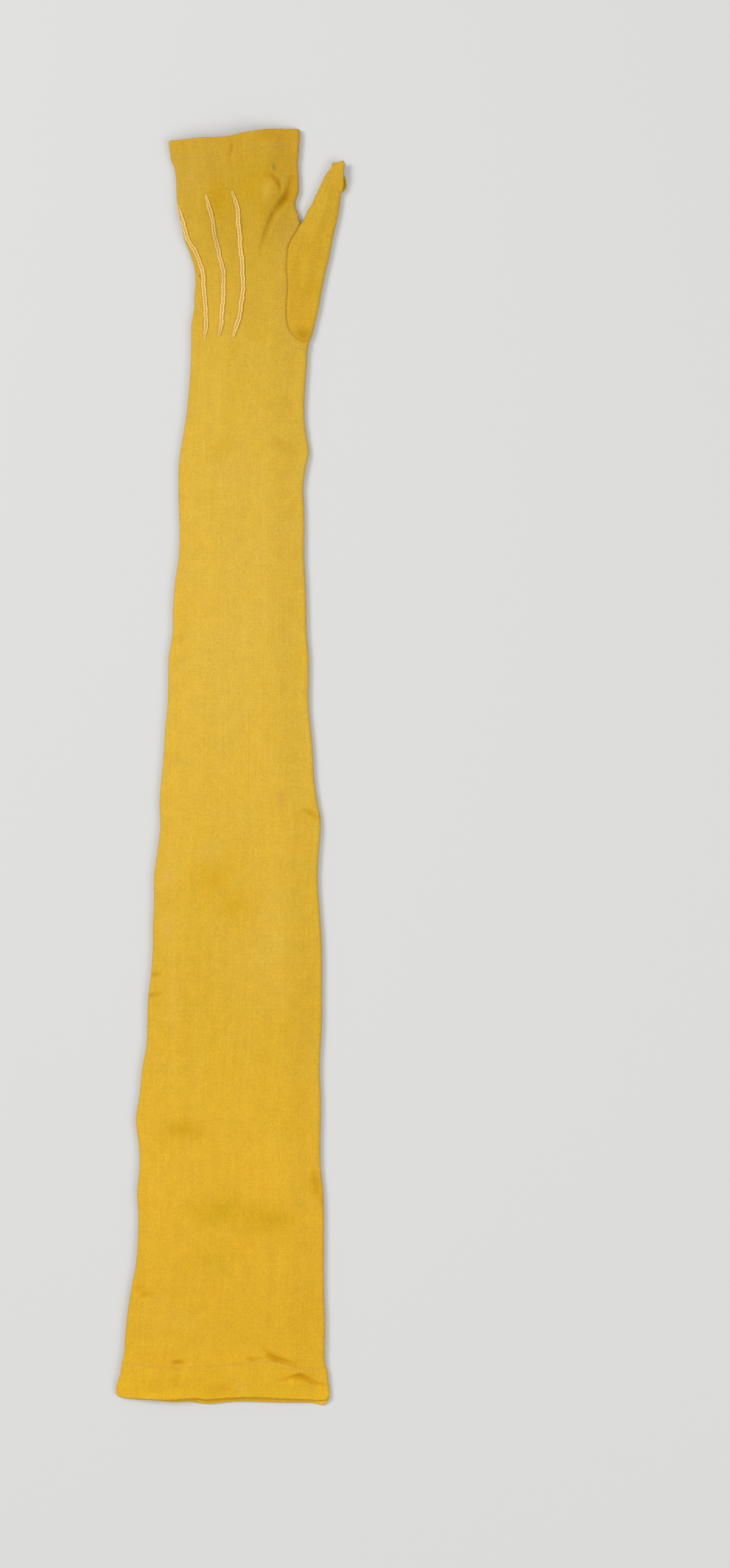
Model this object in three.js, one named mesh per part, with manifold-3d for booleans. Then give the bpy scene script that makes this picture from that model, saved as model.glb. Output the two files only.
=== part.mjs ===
// A long evening mitten of fine knitted silk, lying flat on its palm with the back of the hand up.
// It is a left-hand mitten: one knitted tube for arm and hand, a set-in thumb, and a hem at each end.
// Millimetres, +Z up. X runs from the little-finger edge to the thumb, Y from the arm to the fingers.
// While it is drawn, X = 0 is the middle of the wrist and Y = 0 the lowest point of the thumb's seam.
import * as THREE from "three";
import { mergeVertices } from "three/addons/utils/BufferGeometryUtils.js";
import Module from "manifold-3d";

const wasm = await Module();
wasm.setup();

// Lengths along the mitten
const ARM_LENGTH = 597; // wrist to arm opening
const HAND_LENGTH = 120; // wrist to finger opening, on the thumb side
const ARM_HEM = 18; // depth of the turned hem at the arm
const ARM_LIP = 2.4; // how far the palm layer shows past the back layer there
const FINGER_HEM = 8.6; // depth of the turned hem at the fingers
const FINGER_SLANT = 7; // how much shorter the little-finger side is

// Flat widths
const WRIST_WIDTH = 66;
const HAND_WIDTH = 74; // at the finger opening
const HAND_FLARE = 12.4; // how far the little-finger edge reaches out past the wrist there
const ARM_FLARE_LITTLE = 42; // how far the arm opening reaches past the wrist, little-finger side
const ARM_FLARE_THUMB = 12.7; // and thumb side

// The cloth and how it lies
const LOFT = 8; // thickness of the flat tube, both layers and the room between them
const WALL = 1; // one layer
const HEM_WALL = 1.7; // two layers sewn together
const EDGE_ROUND = 7; // how far in from a folded edge the tube reaches its full thickness
const GAP = 0.3; // between neighbouring pieces

// The thumb
const SEAM_LENGTH = 66.8; // lowest point of the seam to the crotch
const BACK_SEAM_DEPTH = 12.7; // how far the seam reaches in from the edge, on the back
const PALM_SEAM_DEPTH = 21.4; // and on the palm
const SEAM_OVERLAP = 9; // how far hand tube and thumb tube run into each other across the seam
const SEAM_BAND = 5.4; // width of the seam allowance that is sewn down round the thumb
const SEAM_WALL = 1.5;
const SEAM_RISE = 0.4; // how far that band stands above the cloth
const THUMB_REACH = 102.6; // lowest point of the seam to the thumb's tip
const THUMB_LEAN = 19.9; // how far the tip leans outwards
const THUMB_BULGE = 2.7; // how far its outer edge curves out from a straight line
const TIP_WIDTH = 6.9; // flat width at the tip
const TIP_EDGE = 1.8; // depth of the rolled edge round the thumb's mouth
const TIP_WALL = 1.3;
const MOUTH_LENGTH = 17; // how far down its outer edge the thumb is open

// Seam and embroidery
const SIDE_SEAM_WIDTH = 1.4;
const SIDE_SEAM_INSET = 3; // from the little-finger edge, along the arm
const SIDE_SEAM_PALM_INSET = 8.6; // and across the palm
const POINT_WIDTH = 2.8; // one embroidered point
const POINT_RISE = 1;
const POINT_LENGTH = 83;
const POINT_SPACING = 11.1; // between neighbouring points

// Mesh steps
const HAND_STEP = 6;
const ARM_STEP = 20;
const THUMB_STEP = 9;
const MOUTH_STEP = 4;
const TOP_COLUMNS = 9; // columns across the flat top
const ROUND_TURNS = [0, 32, 62, 90]; // degrees round a quarter of a folded edge
const RUN_OUT = 12; // how far the tubes run on past the openings before they are cut

// Edges of the arm. along: share of ARM_LENGTH from the wrist; little, thumb: share of each side's
// flare; loft: share of LOFT.
const ARM_SECTIONS = [
  { along: 0.0, little: -0.01, thumb: 0.05, loft: 1.0 },
  { along: 0.03, little: 0.0, thumb: -0.05, loft: 0.98 },
  { along: 0.07, little: 0.06, thumb: -0.15, loft: 0.96 },
  { along: 0.103, little: 0.13, thumb: 0.07, loft: 0.95 },
  { along: 0.138, little: 0.165, thumb: -0.16, loft: 0.96 },
  { along: 0.195, little: 0.155, thumb: -0.11, loft: 0.98 },
  { along: 0.24, little: 0.22, thumb: -0.04, loft: 1.0 },
  { along: 0.3, little: 0.295, thumb: 0.08, loft: 1.0 },
  { along: 0.345, little: 0.31, thumb: 0.08, loft: 0.99 },
  { along: 0.414, little: 0.39, thumb: 0.32, loft: 0.97 },
  { along: 0.457, little: 0.41, thumb: 0.64, loft: 0.96 },
  { along: 0.506, little: 0.49, thumb: 0.49, loft: 0.98 },
  { along: 0.575, little: 0.51, thumb: 0.68, loft: 1.0 },
  { along: 0.627, little: 0.578, thumb: 0.68, loft: 1.0 },
  { along: 0.69, little: 0.656, thumb: 0.57, loft: 0.98 },
  { along: 0.742, little: 0.738, thumb: 0.62, loft: 0.97 },
  { along: 0.77, little: 0.689, thumb: 0.61, loft: 0.97 },
  { along: 0.808, little: 0.72, thumb: 0.74, loft: 0.98 },
  { along: 0.865, little: 0.72, thumb: 0.757, loft: 0.99 },
  { along: 0.9, little: 0.81, thumb: 0.76, loft: 0.99 },
  { along: 0.945, little: 0.885, thumb: 0.81, loft: 1.0 },
  { along: 0.967, little: 0.926, thumb: 0.82, loft: 1.07 },
  { along: 0.98, little: 0.965, thumb: 0.95, loft: 1.1 },
  { along: 0.993, little: 1.0, thumb: 1.0, loft: 1.12 },
];

// Edges of the hand. along: share of HAND_LENGTH from the wrist; little: share of HAND_FLARE;
// tuck: share of BACK_SEAM_DEPTH that the thumb-side edge lies inside the line from wrist to
// crotch to finger opening; rows within the seam's length are covered by the thumb.
const HAND_SECTIONS = [
  { along: 0.05, little: -0.01, tuck: 0.1, loft: 1.0 },
  { along: 0.1, little: -0.03, tuck: 0.36, loft: 1.0 },
  { along: 0.17, little: -0.14, tuck: 0.42, loft: 1.0 },
  { along: 0.24, little: -0.17, tuck: 0.36, loft: 1.0 },
  { along: 0.31, little: -0.2, tuck: 0.28, loft: 1.0 },
  { along: 0.38, little: -0.09, tuck: 0.26, loft: 0.99 },
  { along: 0.45, little: 0.18, tuck: 0.22, loft: 0.98 },
  { along: 0.52, little: 0.37, tuck: 0.06, loft: 0.98 },
  { along: 0.565, little: 0.46, tuck: 0.02, loft: 0.98 },
  { along: 0.6, little: 0.53, tuck: 0.1, loft: 0.98 },
  { along: 0.65, little: 0.64, tuck: 0.22, loft: 0.98 },
  { along: 0.7, little: 0.65, tuck: 0.12, loft: 0.98 },
  { along: 0.78, little: 0.69, tuck: 0.05, loft: 0.98 },
  { along: 0.85, little: 0.88, tuck: 0.08, loft: 1.0 },
  { along: 0.91, little: 1.0, tuck: 0.03, loft: 1.07 },
  { along: 0.96, little: 1.02, tuck: 0.0, loft: 1.1 },
];

// The thumb's seam. up: share of SEAM_LENGTH from its lowest point to the crotch; in: share of that
// side's seam depth.
const BACK_SEAM = [
  { up: 0.0, in: 0.0 },
  { up: 0.003, in: 0.27 },
  { up: 0.026, in: 0.5 },
  { up: 0.072, in: 0.73 },
  { up: 0.142, in: 0.89 },
  { up: 0.213, in: 0.93 },
  { up: 0.33, in: 0.86 },
  { up: 0.49, in: 0.73 },
  { up: 0.703, in: 0.69 },
  { up: 0.789, in: 0.64 },
  { up: 0.864, in: 0.47 },
  { up: 0.92, in: 0.265 },
  { up: 1.0, in: 0.0 },
];
const PALM_SEAM = [
  { up: 0.0, in: 0.0 },
  { up: -0.005, in: 0.3 },
  { up: 0.006, in: 0.53 },
  { up: 0.055, in: 0.72 },
  { up: 0.13, in: 0.863 },
  { up: 0.22, in: 0.937 },
  { up: 0.33, in: 0.944 },
  { up: 0.466, in: 0.887 },
  { up: 0.634, in: 0.718 },
  { up: 0.787, in: 0.526 },
  { up: 0.88, in: 0.34 },
  { up: 0.94, in: 0.15 },
  { up: 1.0, in: 0.0 },
];

// The thumb's outer edge. along: share of THUMB_REACH; bulge: share of THUMB_BULGE;
// loft: share of LOFT.
const THUMB_SECTIONS = [
  { along: -0.03, bulge: -0.2, loft: 0.8 },
  { along: 0.0, bulge: 0.1, loft: 0.94 },
  { along: 0.04, bulge: 0.35, loft: 1.0 },
  { along: 0.1, bulge: 0.5, loft: 1.0 },
  { along: 0.2, bulge: 0.7, loft: 1.0 },
  { along: 0.33, bulge: 0.66, loft: 1.0 },
  { along: 0.47, bulge: 0.8, loft: 0.98 },
  { along: 0.6, bulge: 0.87, loft: 0.96 },
  { along: 0.7, bulge: 1.0, loft: 0.95 },
  { along: 0.8, bulge: 0.85, loft: 0.95 },
  { along: 0.86, bulge: 1.1, loft: 0.95 },
  { along: 0.93, bulge: 0.3, loft: 0.95 },
  { along: 1.0, bulge: 0.0, loft: 0.95 },
];

// Folds in the back layer. along: share of HAND_LENGTH or ARM_LENGTH from the wrist; across: share
// of the width there, from the little-finger edge; length, width: shares of WRIST_WIDTH;
// turn: degrees from X; rise: share of LOFT, negative for a dent.
const HAND_FOLDS = [
  { along: 0.61, across: 0.83, length: 0.72, width: 0.1, turn: 64, rise: -0.17 },
  { along: 0.63, across: 0.93, length: 0.5, width: 0.07, turn: 66, rise: 0.12 },
  { along: 0.77, across: 0.79, length: 0.24, width: 0.08, turn: -42, rise: -0.14 },
  { along: 0.36, across: 0.17, length: 0.5, width: 0.12, turn: 80, rise: 0.08 },
];
const ARM_FOLDS = [
  { along: 0.958, across: 0.78, length: 0.42, width: 0.09, turn: -24, rise: -0.1 },
  { along: 0.983, across: 0.88, length: 0.46, width: 0.08, turn: -14, rise: -0.08 },
  { along: 0.957, across: 0.29, length: 0.2, width: 0.1, turn: 5, rise: -0.08 },
  { along: 0.885, across: 0.07, length: 0.3, width: 0.12, turn: 8, rise: -0.12 },
  { along: 0.81, across: 0.95, length: 0.5, width: 0.14, turn: 84, rise: -0.14 },
  { along: 0.62, across: 0.03, length: 0.16, width: 0.12, turn: 2, rise: -0.12 },
  { along: 0.456, across: 0.96, length: 0.2, width: 0.1, turn: -30, rise: -0.12 },
];

// Finger edge and hems. across: share of the width from the little-finger edge; drop: share of
// FINGER_SLANT below the thumb-side corner.
const FINGER_EDGE = [
  { across: -0.1, drop: 1.05 },
  { across: 0.0, drop: 1.0 },
  { across: 0.45, drop: 0.72 },
  { across: 0.6, drop: 0.45 },
  { across: 0.8, drop: 0.1 },
  { across: 1.0, drop: 0.0 },
  { across: 1.1, drop: 0.0 },
];

// The three points. up: share of POINT_LENGTH from the wrist end; out: share of POINT_SPACING that
// the line lies off its place towards the thumb.
const POINTS = [
  {
    name: "point_little_finger",
    place: 0,
    line: [
      { up: 0.0, out: 0.05 },
      { up: 0.17, out: 0.1 },
      { up: 0.28, out: 0.02 },
      { up: 0.43, out: -0.07 },
      { up: 0.56, out: -0.34 },
      { up: 0.66, out: -0.76 },
      { up: 0.8, out: -1.08 },
      { up: 0.9, out: -1.26 },
    ],
  },
  {
    name: "point_ring_finger",
    place: 1,
    line: [
      { up: 0.015, out: -0.23 },
      { up: 0.1, out: -0.12 },
      { up: 0.22, out: -0.05 },
      { up: 0.36, out: 0.01 },
      { up: 0.48, out: -0.06 },
      { up: 0.6, out: -0.3 },
      { up: 0.85, out: -0.66 },
      { up: 0.97, out: -0.92 },
    ],
  },
  {
    name: "point_middle_finger",
    place: 2,
    line: [
      { up: 0.0, out: -0.52 },
      { up: 0.1, out: -0.28 },
      { up: 0.22, out: -0.11 },
      { up: 0.35, out: -0.01 },
      { up: 0.5, out: -0.06 },
      { up: 0.75, out: -0.22 },
      { up: 0.9, out: -0.33 },
      { up: 1.0, out: -0.56 },
    ],
  },
];
const POINT_START = 0.018; // share of HAND_LENGTH from the wrist to the points' lower ends
const POINT_INSET = 0.105; // share of WRIST_WIDTH from the little-finger edge to the first point

const radians = THREE.MathUtils.degToRad;

// A table's column at a place between its rows, on a smooth curve through them.
function between(rows, key, column, at) {
  const last = rows.length - 1;
  if (at <= rows[0][key]) return rows[0][column];
  if (at >= rows[last][key]) return rows[last][column];
  const i = rows.findIndex((row, n) => n < last && at < rows[n + 1][key]);
  const slope = (n) => {
    const a = rows[Math.max(n - 1, 0)];
    const b = rows[Math.min(n + 1, last)];
    return (b[column] - a[column]) / (b[key] - a[key]);
  };
  const [a, b] = [rows[i], rows[i + 1]];
  const step = b[key] - a[key];
  const t = (at - a[key]) / step;
  return (
    a[column] * (1 + 2 * t) * (1 - t) ** 2 +
    slope(i) * step * t * (1 - t) ** 2 +
    b[column] * t * t * (3 - 2 * t) -
    slope(i + 1) * step * t * t * (1 - t)
  );
}

const ARM_END = -ARM_LENGTH;
const SEAM_X = WRIST_WIDTH / 2 + ARM_SECTIONS[0].thumb * ARM_FLARE_THUMB;
const HAND_LEFT = -WRIST_WIDTH / 2 - HAND_FLARE;
const HAND_RIGHT = HAND_LEFT + HAND_WIDTH;
const MOUTH_START = THUMB_REACH - MOUTH_LENGTH;

// The straight line from the seam's lowest point to the crotch, which goes on to the fingers.
function thumbSide(y) {
  const t = THREE.MathUtils.clamp(y / SEAM_LENGTH, 0, 1);
  return SEAM_X + (HAND_RIGHT - SEAM_X) * t;
}

const tubeRows = [
  ...ARM_SECTIONS.map((row) => ({
    y: -row.along * ARM_LENGTH,
    left: -WRIST_WIDTH / 2 - row.little * ARM_FLARE_LITTLE,
    right: WRIST_WIDTH / 2 + row.thumb * ARM_FLARE_THUMB,
    height: row.loft * LOFT,
  })).reverse(),
  ...HAND_SECTIONS.map((row) => ({
    y: row.along * HAND_LENGTH,
    left: -WRIST_WIDTH / 2 - row.little * HAND_FLARE,
    right: thumbSide(row.along * HAND_LENGTH) - row.tuck * BACK_SEAM_DEPTH,
    height: row.loft * LOFT,
  })),
];

function tubeAt(y) {
  const [left, right, height] = ["left", "right", "height"].map((column) =>
    between(tubeRows, "y", column, y),
  );
  return { left, right, height };
}

// Where the thumb's seam runs, as points from its lowest point to the crotch, moved out by grow.
function seamLine(table, depth, grow, count = 20) {
  const curve = new THREE.SplineCurve(
    table.map((row) => {
      const y = row.up * SEAM_LENGTH;
      return new THREE.Vector2(thumbSide(y) - row.in * depth, y);
    }),
  );
  return Array.from({ length: count }, (_, i) => {
    const u = i / (count - 1);
    const along = curve.getTangentAt(u);
    return curve
      .getPointAt(u)
      .add(new THREE.Vector2(-along.y, along.x).multiplyScalar(grow));
  });
}

// The thumb's outer edge in plan.
function thumbEdge(y) {
  const bulge = between(THUMB_SECTIONS, "along", "bulge", y / THUMB_REACH);
  return SEAM_X + (y / THUMB_REACH) * THUMB_LEAN + bulge * THUMB_BULGE;
}

// The thumb tube's edges: its inner one runs under the hand below the crotch, and its outer one
// runs out past the mouth, where the tube is cut open.
function thumbAt(y) {
  const tipLeft = thumbEdge(THUMB_REACH) - TIP_WIDTH;
  const rise = (y - SEAM_LENGTH) / (THUMB_REACH - SEAM_LENGTH);
  const inner =
    y >= SEAM_LENGTH
      ? HAND_RIGHT + rise * (tipLeft - HAND_RIGHT)
      : tubeAt(y).right - SEAM_OVERLAP * Math.min(1, (SEAM_LENGTH - y) / SEAM_OVERLAP);
  const past = THREE.MathUtils.smoothstep(
    y,
    MOUTH_START - MOUTH_STEP / 4,
    MOUTH_START + 2 * MOUTH_STEP,
  );
  return {
    left: inner,
    right: thumbEdge(y) + past * EDGE_ROUND,
    height: between(THUMB_SECTIONS, "along", "loft", y / THUMB_REACH) * LOFT,
  };
}

// How far the folds move the back layer up or down at a place on the tube.
function foldRise(x, y) {
  const { left, right } = tubeAt(y);
  const rows = y > 0 ? HAND_FOLDS : ARM_FOLDS;
  const reach = y > 0 ? HAND_LENGTH : -ARM_LENGTH;
  return rows.reduce((sum, fold) => {
    const turn = radians(fold.turn);
    const dx = x - left - fold.across * (right - left);
    const dy = y - fold.along * reach;
    const u = (dx * Math.cos(turn) + dy * Math.sin(turn)) / (fold.length * WRIST_WIDTH);
    const v = (dy * Math.cos(turn) - dx * Math.sin(turn)) / (fold.width * WRIST_WIDTH);
    const fade = Math.abs(u) < 0.5 ? Math.cos(Math.PI * u) ** 2 : 0;
    return sum + fold.rise * LOFT * fade * Math.exp(-v * v);
  }, 0);
}

// The height of the back layer's outer face at a place on the tube.
function clothTop(x, y) {
  const { left, right, height } = tubeAt(y);
  const inset = THREE.MathUtils.clamp(Math.min(x - left, right - x) / EDGE_ROUND, 0, 1);
  const full = Math.sqrt(1 - (1 - inset) ** 2);
  return (height / 2) * (1 + full) + foldRise(x, y) * full;
}

function solidOf(geometry) {
  const bare = geometry.clone();
  bare.deleteAttribute("normal");
  bare.deleteAttribute("uv");
  const merged = mergeVertices(bare, 1e-4);
  return new wasm.Manifold(
    new wasm.Mesh({
      numProp: 3,
      vertProperties: merged.getAttribute("position").array,
      triVerts: new Uint32Array(merged.index.array),
    }),
  );
}

// A closed skin over rings of points that all have as many points, with flat ends.
function loft(rings) {
  const count = rings[0].length;
  const points = rings.flat();
  const faces = [];
  for (let i = 0; i + 1 < rings.length; i++)
    for (let j = 0; j < count; j++) {
      const [a, b] = [i * count + j, i * count + ((j + 1) % count)];
      faces.push(a, b, b + count, a, b + count, a + count);
    }
  for (const [i, order] of [[0, -1], [rings.length - 1, 1]]) {
    const middle = rings[i].reduce((sum, p) => sum.add(p), new THREE.Vector3());
    points.push(middle.divideScalar(count));
    for (let j = 0; j < count; j++) {
      const [a, b] = [i * count + j, i * count + ((j + 1) % count)];
      faces.push(points.length - 1, ...(order > 0 ? [a, b] : [b, a]));
    }
  }
  const geometry = new THREE.BufferGeometry().setFromPoints(points);
  geometry.setIndex(faces);
  return solidOf(geometry);
}

// One ring round a flat tube, made smaller by inset, or larger by a negative one. The palm side
// stays on the ground when it is made larger.
function ring(section, y, inset, folded) {
  const { left, right, height } = section;
  const half = (right - left) / 2 - inset;
  const round = Math.min(EDGE_ROUND - inset, 0.98 * half);
  const middle = height / 2;
  const [low, high] = [middle - Math.max(inset, 0), height - inset - middle];
  const turns = ROUND_TURNS.map(radians);
  const corner = (side, turn, top) => {
    const x = side * (half - round * (1 - Math.cos(turn))) + (left + right) / 2;
    const lift = folded && top > 0 ? foldRise(x, y) * Math.sin(turn) : 0;
    return new THREE.Vector3(x, y, middle + top * (top > 0 ? high : low) * Math.sin(turn) + lift);
  };
  const flat = Array.from({ length: TOP_COLUMNS - 1 }, (_, i) => {
    const share = 1 - (2 * (i + 1)) / TOP_COLUMNS;
    const x = share * (half - round) + (left + right) / 2;
    return new THREE.Vector3(x, y, middle + high + (folded ? foldRise(x, y) : 0));
  });
  return [
    ...turns.map((turn) => corner(1, turn, 1)),
    ...flat,
    ...turns.toReversed().map((turn) => corner(-1, turn, 1)),
    ...turns.slice(1).map((turn) => corner(-1, turn, -1)),
    ...turns.slice(1).toReversed().map((turn) => corner(1, turn, -1)),
  ].reverse();
}

function steps(from, to, step) {
  const count = Math.ceil((to - from) / step);
  return Array.from({ length: count }, (_, i) => from + ((to - from) * i) / count);
}

function handTube(inset) {
  const top = HAND_LENGTH + RUN_OUT;
  const places = [
    ...steps(ARM_END - RUN_OUT, ARM_END + 2 * ARM_HEM, HAND_STEP),
    ...steps(ARM_END + 2 * ARM_HEM, -HAND_STEP, ARM_STEP),
    ...steps(-HAND_STEP, top, HAND_STEP),
    top,
  ];
  return loft(places.map((y) => ring(tubeAt(y), y, inset, true)));
}

function thumbTube(inset) {
  const low = THUMB_SECTIONS[0].along * THUMB_REACH + inset;
  const high = THUMB_REACH + RUN_OUT;
  const places = [
    ...steps(low, MOUTH_START - MOUTH_STEP, THUMB_STEP),
    ...steps(MOUTH_START - MOUTH_STEP, high, MOUTH_STEP),
    high,
  ];
  return loft(places.map((y) => ring(thumbAt(y), y, inset, false)));
}

// The space over and under a shape drawn in plan, between two heights.
function prism(outline, low = -RUN_OUT, high = 4 * LOFT) {
  const geometry = new THREE.ExtrudeGeometry(new THREE.Shape(outline), {
    depth: high - low,
    bevelEnabled: false,
  });
  return solidOf(geometry.translate(0, 0, low));
}

// Everything on the thumb's side of its seam, moved out by grow from it.
function thumbSpace(grow) {
  const far = SEAM_X + THUMB_LEAN + WRIST_WIDTH;
  const notch = [0.25, 0.6, 1].map((share) => {
    const y = SEAM_LENGTH + share * (THUMB_REACH - SEAM_LENGTH);
    return new THREE.Vector2((tubeAt(y).right + thumbAt(y).left) / 2, y);
  });
  const outline = (table, depth) => [
    new THREE.Vector2(far, -grow),
    ...seamLine(table, depth, grow),
    ...notch,
    new THREE.Vector2(notch.at(-1).x, 2 * THUMB_REACH),
    new THREE.Vector2(far, 2 * THUMB_REACH),
  ];
  return prism(outline(BACK_SEAM, BACK_SEAM_DEPTH), LOFT / 2).add(
    prism(outline(PALM_SEAM, PALM_SEAM_DEPTH), -RUN_OUT, LOFT / 2),
  );
}

// The finger edge, or a line the given distance below it, across the whole hand.
function fingerLine(below) {
  const { left, right } = tubeAt(HAND_LENGTH);
  return FINGER_EDGE.map(
    (row) =>
      new THREE.Vector2(
        left + row.across * (right - left),
        HAND_LENGTH - row.drop * FINGER_SLANT - below,
      ),
  );
}

// The hand between two lines across it: everything under the upper and over the lower one.
function fingerSpace(below) {
  const line = fingerLine(below);
  const low = HAND_LENGTH / 3;
  return prism([
    new THREE.Vector2(line[0].x, low),
    new THREE.Vector2(line.at(-1).x, low),
    ...line.toReversed(),
  ]);
}

function slab(yLow, yHigh, zLow, zHigh) {
  const side = WRIST_WIDTH + ARM_FLARE_LITTLE + ARM_FLARE_THUMB;
  const box = new THREE.BoxGeometry(2 * side, yHigh - yLow, zHigh - zLow);
  return solidOf(box.translate(0, (yLow + yHigh) / 2, (zLow + zHigh) / 2));
}

// Everything past the thumb's mouth, or past a line the given depth inside it.
function mouthSpace(depth) {
  const far = SEAM_X + THUMB_LEAN + WRIST_WIDTH;
  const line = [...steps(MOUTH_START - depth, THUMB_REACH, MOUTH_STEP), 2 * THUMB_REACH].map(
    (y) => new THREE.Vector2(thumbEdge(y) - depth, y),
  );
  const side = [new THREE.Vector2(far, line[0].y), new THREE.Vector2(far, line.at(-1).y)];
  return prism([...side, ...line.toReversed()]).add(
    slab(THUMB_REACH - depth, 2 * THUMB_REACH, -RUN_OUT, 4 * LOFT),
  );
}

// The whole mitten as one sewn skin, with walls of the given thickness; grow stands it out.
function skin(wall, grow = 0) {
  const outside = handTube(-grow).add(thumbTube(-grow));
  return outside.subtract(handTube(wall)).subtract(thumbTube(wall));
}

// A strip drawn in plan along the little-finger side of the palm.
function sideSeamStrip(width) {
  const low = ARM_END + ARM_HEM;
  const high = HAND_LENGTH - FINGER_SLANT - FINGER_HEM;
  const places = [...steps(low, high, ARM_STEP), high];
  const inset = (y) => {
    const t = THREE.MathUtils.smoothstep(y, 0, HAND_LENGTH / 2);
    return SIDE_SEAM_INSET + (SIDE_SEAM_PALM_INSET - SIDE_SEAM_INSET) * t;
  };
  const side = (sign) =>
    places.map((y) => {
      const reach = y === low || y === high ? RUN_OUT * Math.sign(y) : 0;
      return new THREE.Vector2(tubeAt(y).left + inset(y) + (sign * width) / 2, y + reach);
    });
  return prism([...side(1), ...side(-1).reverse()], -RUN_OUT, LOFT / 2);
}

// One embroidered point: a tapering ridge that follows the cloth.
function pointRidge({ place, line }) {
  const start = POINT_START * HAND_LENGTH;
  const rows = line.map((row) => {
    const y = start + row.up * POINT_LENGTH;
    const first = -WRIST_WIDTH / 2 + POINT_INSET * WRIST_WIDTH;
    return new THREE.Vector2(first + (place + row.out) * POINT_SPACING, y);
  });
  const curve = new THREE.SplineCurve(rows);
  const count = 16;
  const rings = Array.from({ length: count }, (_, i) => {
    const u = i / (count - 1);
    const at = curve.getPointAt(u);
    const along = curve.getTangentAt(u);
    const taper = 0.35 + 0.65 * Math.sin(Math.PI * u) ** 0.4;
    const profile = [[-1, -1], [-1, 0.3], [-0.6, 1], [0.6, 1], [1, 0.3], [1, -1]];
    const reach = POINT_RISE / 2;
    const slope = (clothTop(at.x + reach, at.y) - clothTop(at.x - reach, at.y)) / (2 * reach);
    const tilt = Math.atan(slope);
    return profile.map(([across, up]) => {
      const out = (across * taper * POINT_WIDTH) / 2;
      const rise = up > 0 ? GAP + up * POINT_RISE : -WALL;
      return new THREE.Vector3(
        at.x + out * along.y * Math.cos(tilt) - rise * Math.sin(tilt),
        at.y - out * along.x,
        clothTop(at.x, at.y) + out * along.y * Math.sin(tilt) + rise * Math.cos(tilt),
      );
    });
  });
  return loft(rings);
}

function geometryOf(solid) {
  const { vertProperties, triVerts } = solid.getMesh();
  const geometry = new THREE.BufferGeometry();
  geometry.setAttribute("position", new THREE.BufferAttribute(new Float32Array(vertProperties), 3));
  geometry.setIndex(new THREE.BufferAttribute(new Uint32Array(triVerts), 1));
  geometry.computeVertexNormals();
  return geometry;
}

const silk = new THREE.MeshStandardMaterial({ color: 0xdcae3f, roughness: 0.75, metalness: 0 });
const thumbSilk = new THREE.MeshStandardMaterial({ color: 0xcfa338, roughness: 0.75, metalness: 0 });
const thread = new THREE.MeshStandardMaterial({ color: 0xecd193, roughness: 0.6, metalness: 0 });

const mitten = new THREE.Group();

function piece(name, solid, material) {
  const mesh = new THREE.Mesh(geometryOf(solid), material);
  mesh.name = name;
  mitten.add(mesh);
}

const single = skin(WALL);
const doubled = skin(HEM_WALL);
const seamed = skin(SEAM_WALL, SEAM_RISE);
const armMiddle = LOFT / 2;

const armHemTop = ARM_END + ARM_HEM;
const overArmHem = slab(armHemTop + GAP, 2 * HAND_LENGTH, -RUN_OUT, 4 * LOFT);
const underArmHem = slab(ARM_END, armHemTop, armMiddle, 4 * LOFT).add(
  slab(ARM_END - ARM_LIP, armHemTop, -RUN_OUT, armMiddle),
);

const seamStrip = sideSeamStrip(SIDE_SEAM_WIDTH);
const seamSlit = sideSeamStrip(SIDE_SEAM_WIDTH + 2 * GAP);
const betweenHems = overArmHem.intersect(fingerSpace(FINGER_HEM + GAP).add(
  slab(armHemTop, HAND_LENGTH / 2, -RUN_OUT, 4 * LOFT),
));

piece(
  "hand_and_arm",
  single.intersect(betweenHems).subtract(thumbSpace(SEAM_BAND + GAP)).subtract(seamSlit),
  silk,
);
piece("side_seam", doubled.intersect(seamStrip).intersect(betweenHems), silk);
piece(
  "finger_hem",
  doubled
    .intersect(fingerSpace(0))
    .subtract(fingerSpace(FINGER_HEM))
    .subtract(slab(ARM_END - 2 * RUN_OUT, HAND_LENGTH / 2, -RUN_OUT, 4 * LOFT))
    .subtract(thumbSpace(SEAM_BAND + GAP)),
  silk,
);
piece("arm_hem", doubled.intersect(underArmHem), silk);
piece("thumb_seam", seamed.intersect(thumbSpace(SEAM_BAND)).subtract(thumbSpace(GAP)), silk);

piece("thumb", single.intersect(thumbSpace(0)).subtract(mouthSpace(TIP_EDGE + GAP)), thumbSilk);
piece(
  "thumb_edge",
  skin(TIP_WALL).intersect(thumbSpace(0)).intersect(mouthSpace(TIP_EDGE)).subtract(mouthSpace(0)),
  thumbSilk,
);

const clearOfCloth = handTube(-GAP);
for (const point of POINTS) piece(point.name, pointRidge(point).subtract(clearOfCloth), thread);

// The origin is on the ground, under the middle of the mitten.
mitten.updateMatrixWorld(true);
const bounds = new THREE.Box3().setFromObject(mitten, true);
const centre = bounds.getCenter(new THREE.Vector3());
mitten.position.set(-centre.x, -centre.y, -bounds.min.z);

export default mitten;
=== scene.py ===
# A long evening mitten of fine knitted silk, laid flat on its palm with the back of the hand up.
# All is worked out in millimetres on a plan of the mitten: X = 0 is the middle of the wrist,
# Y = 0 the lowest point of the thumb's seam and Z = 0 the ground. build() moves it to the frame.
import math

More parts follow.
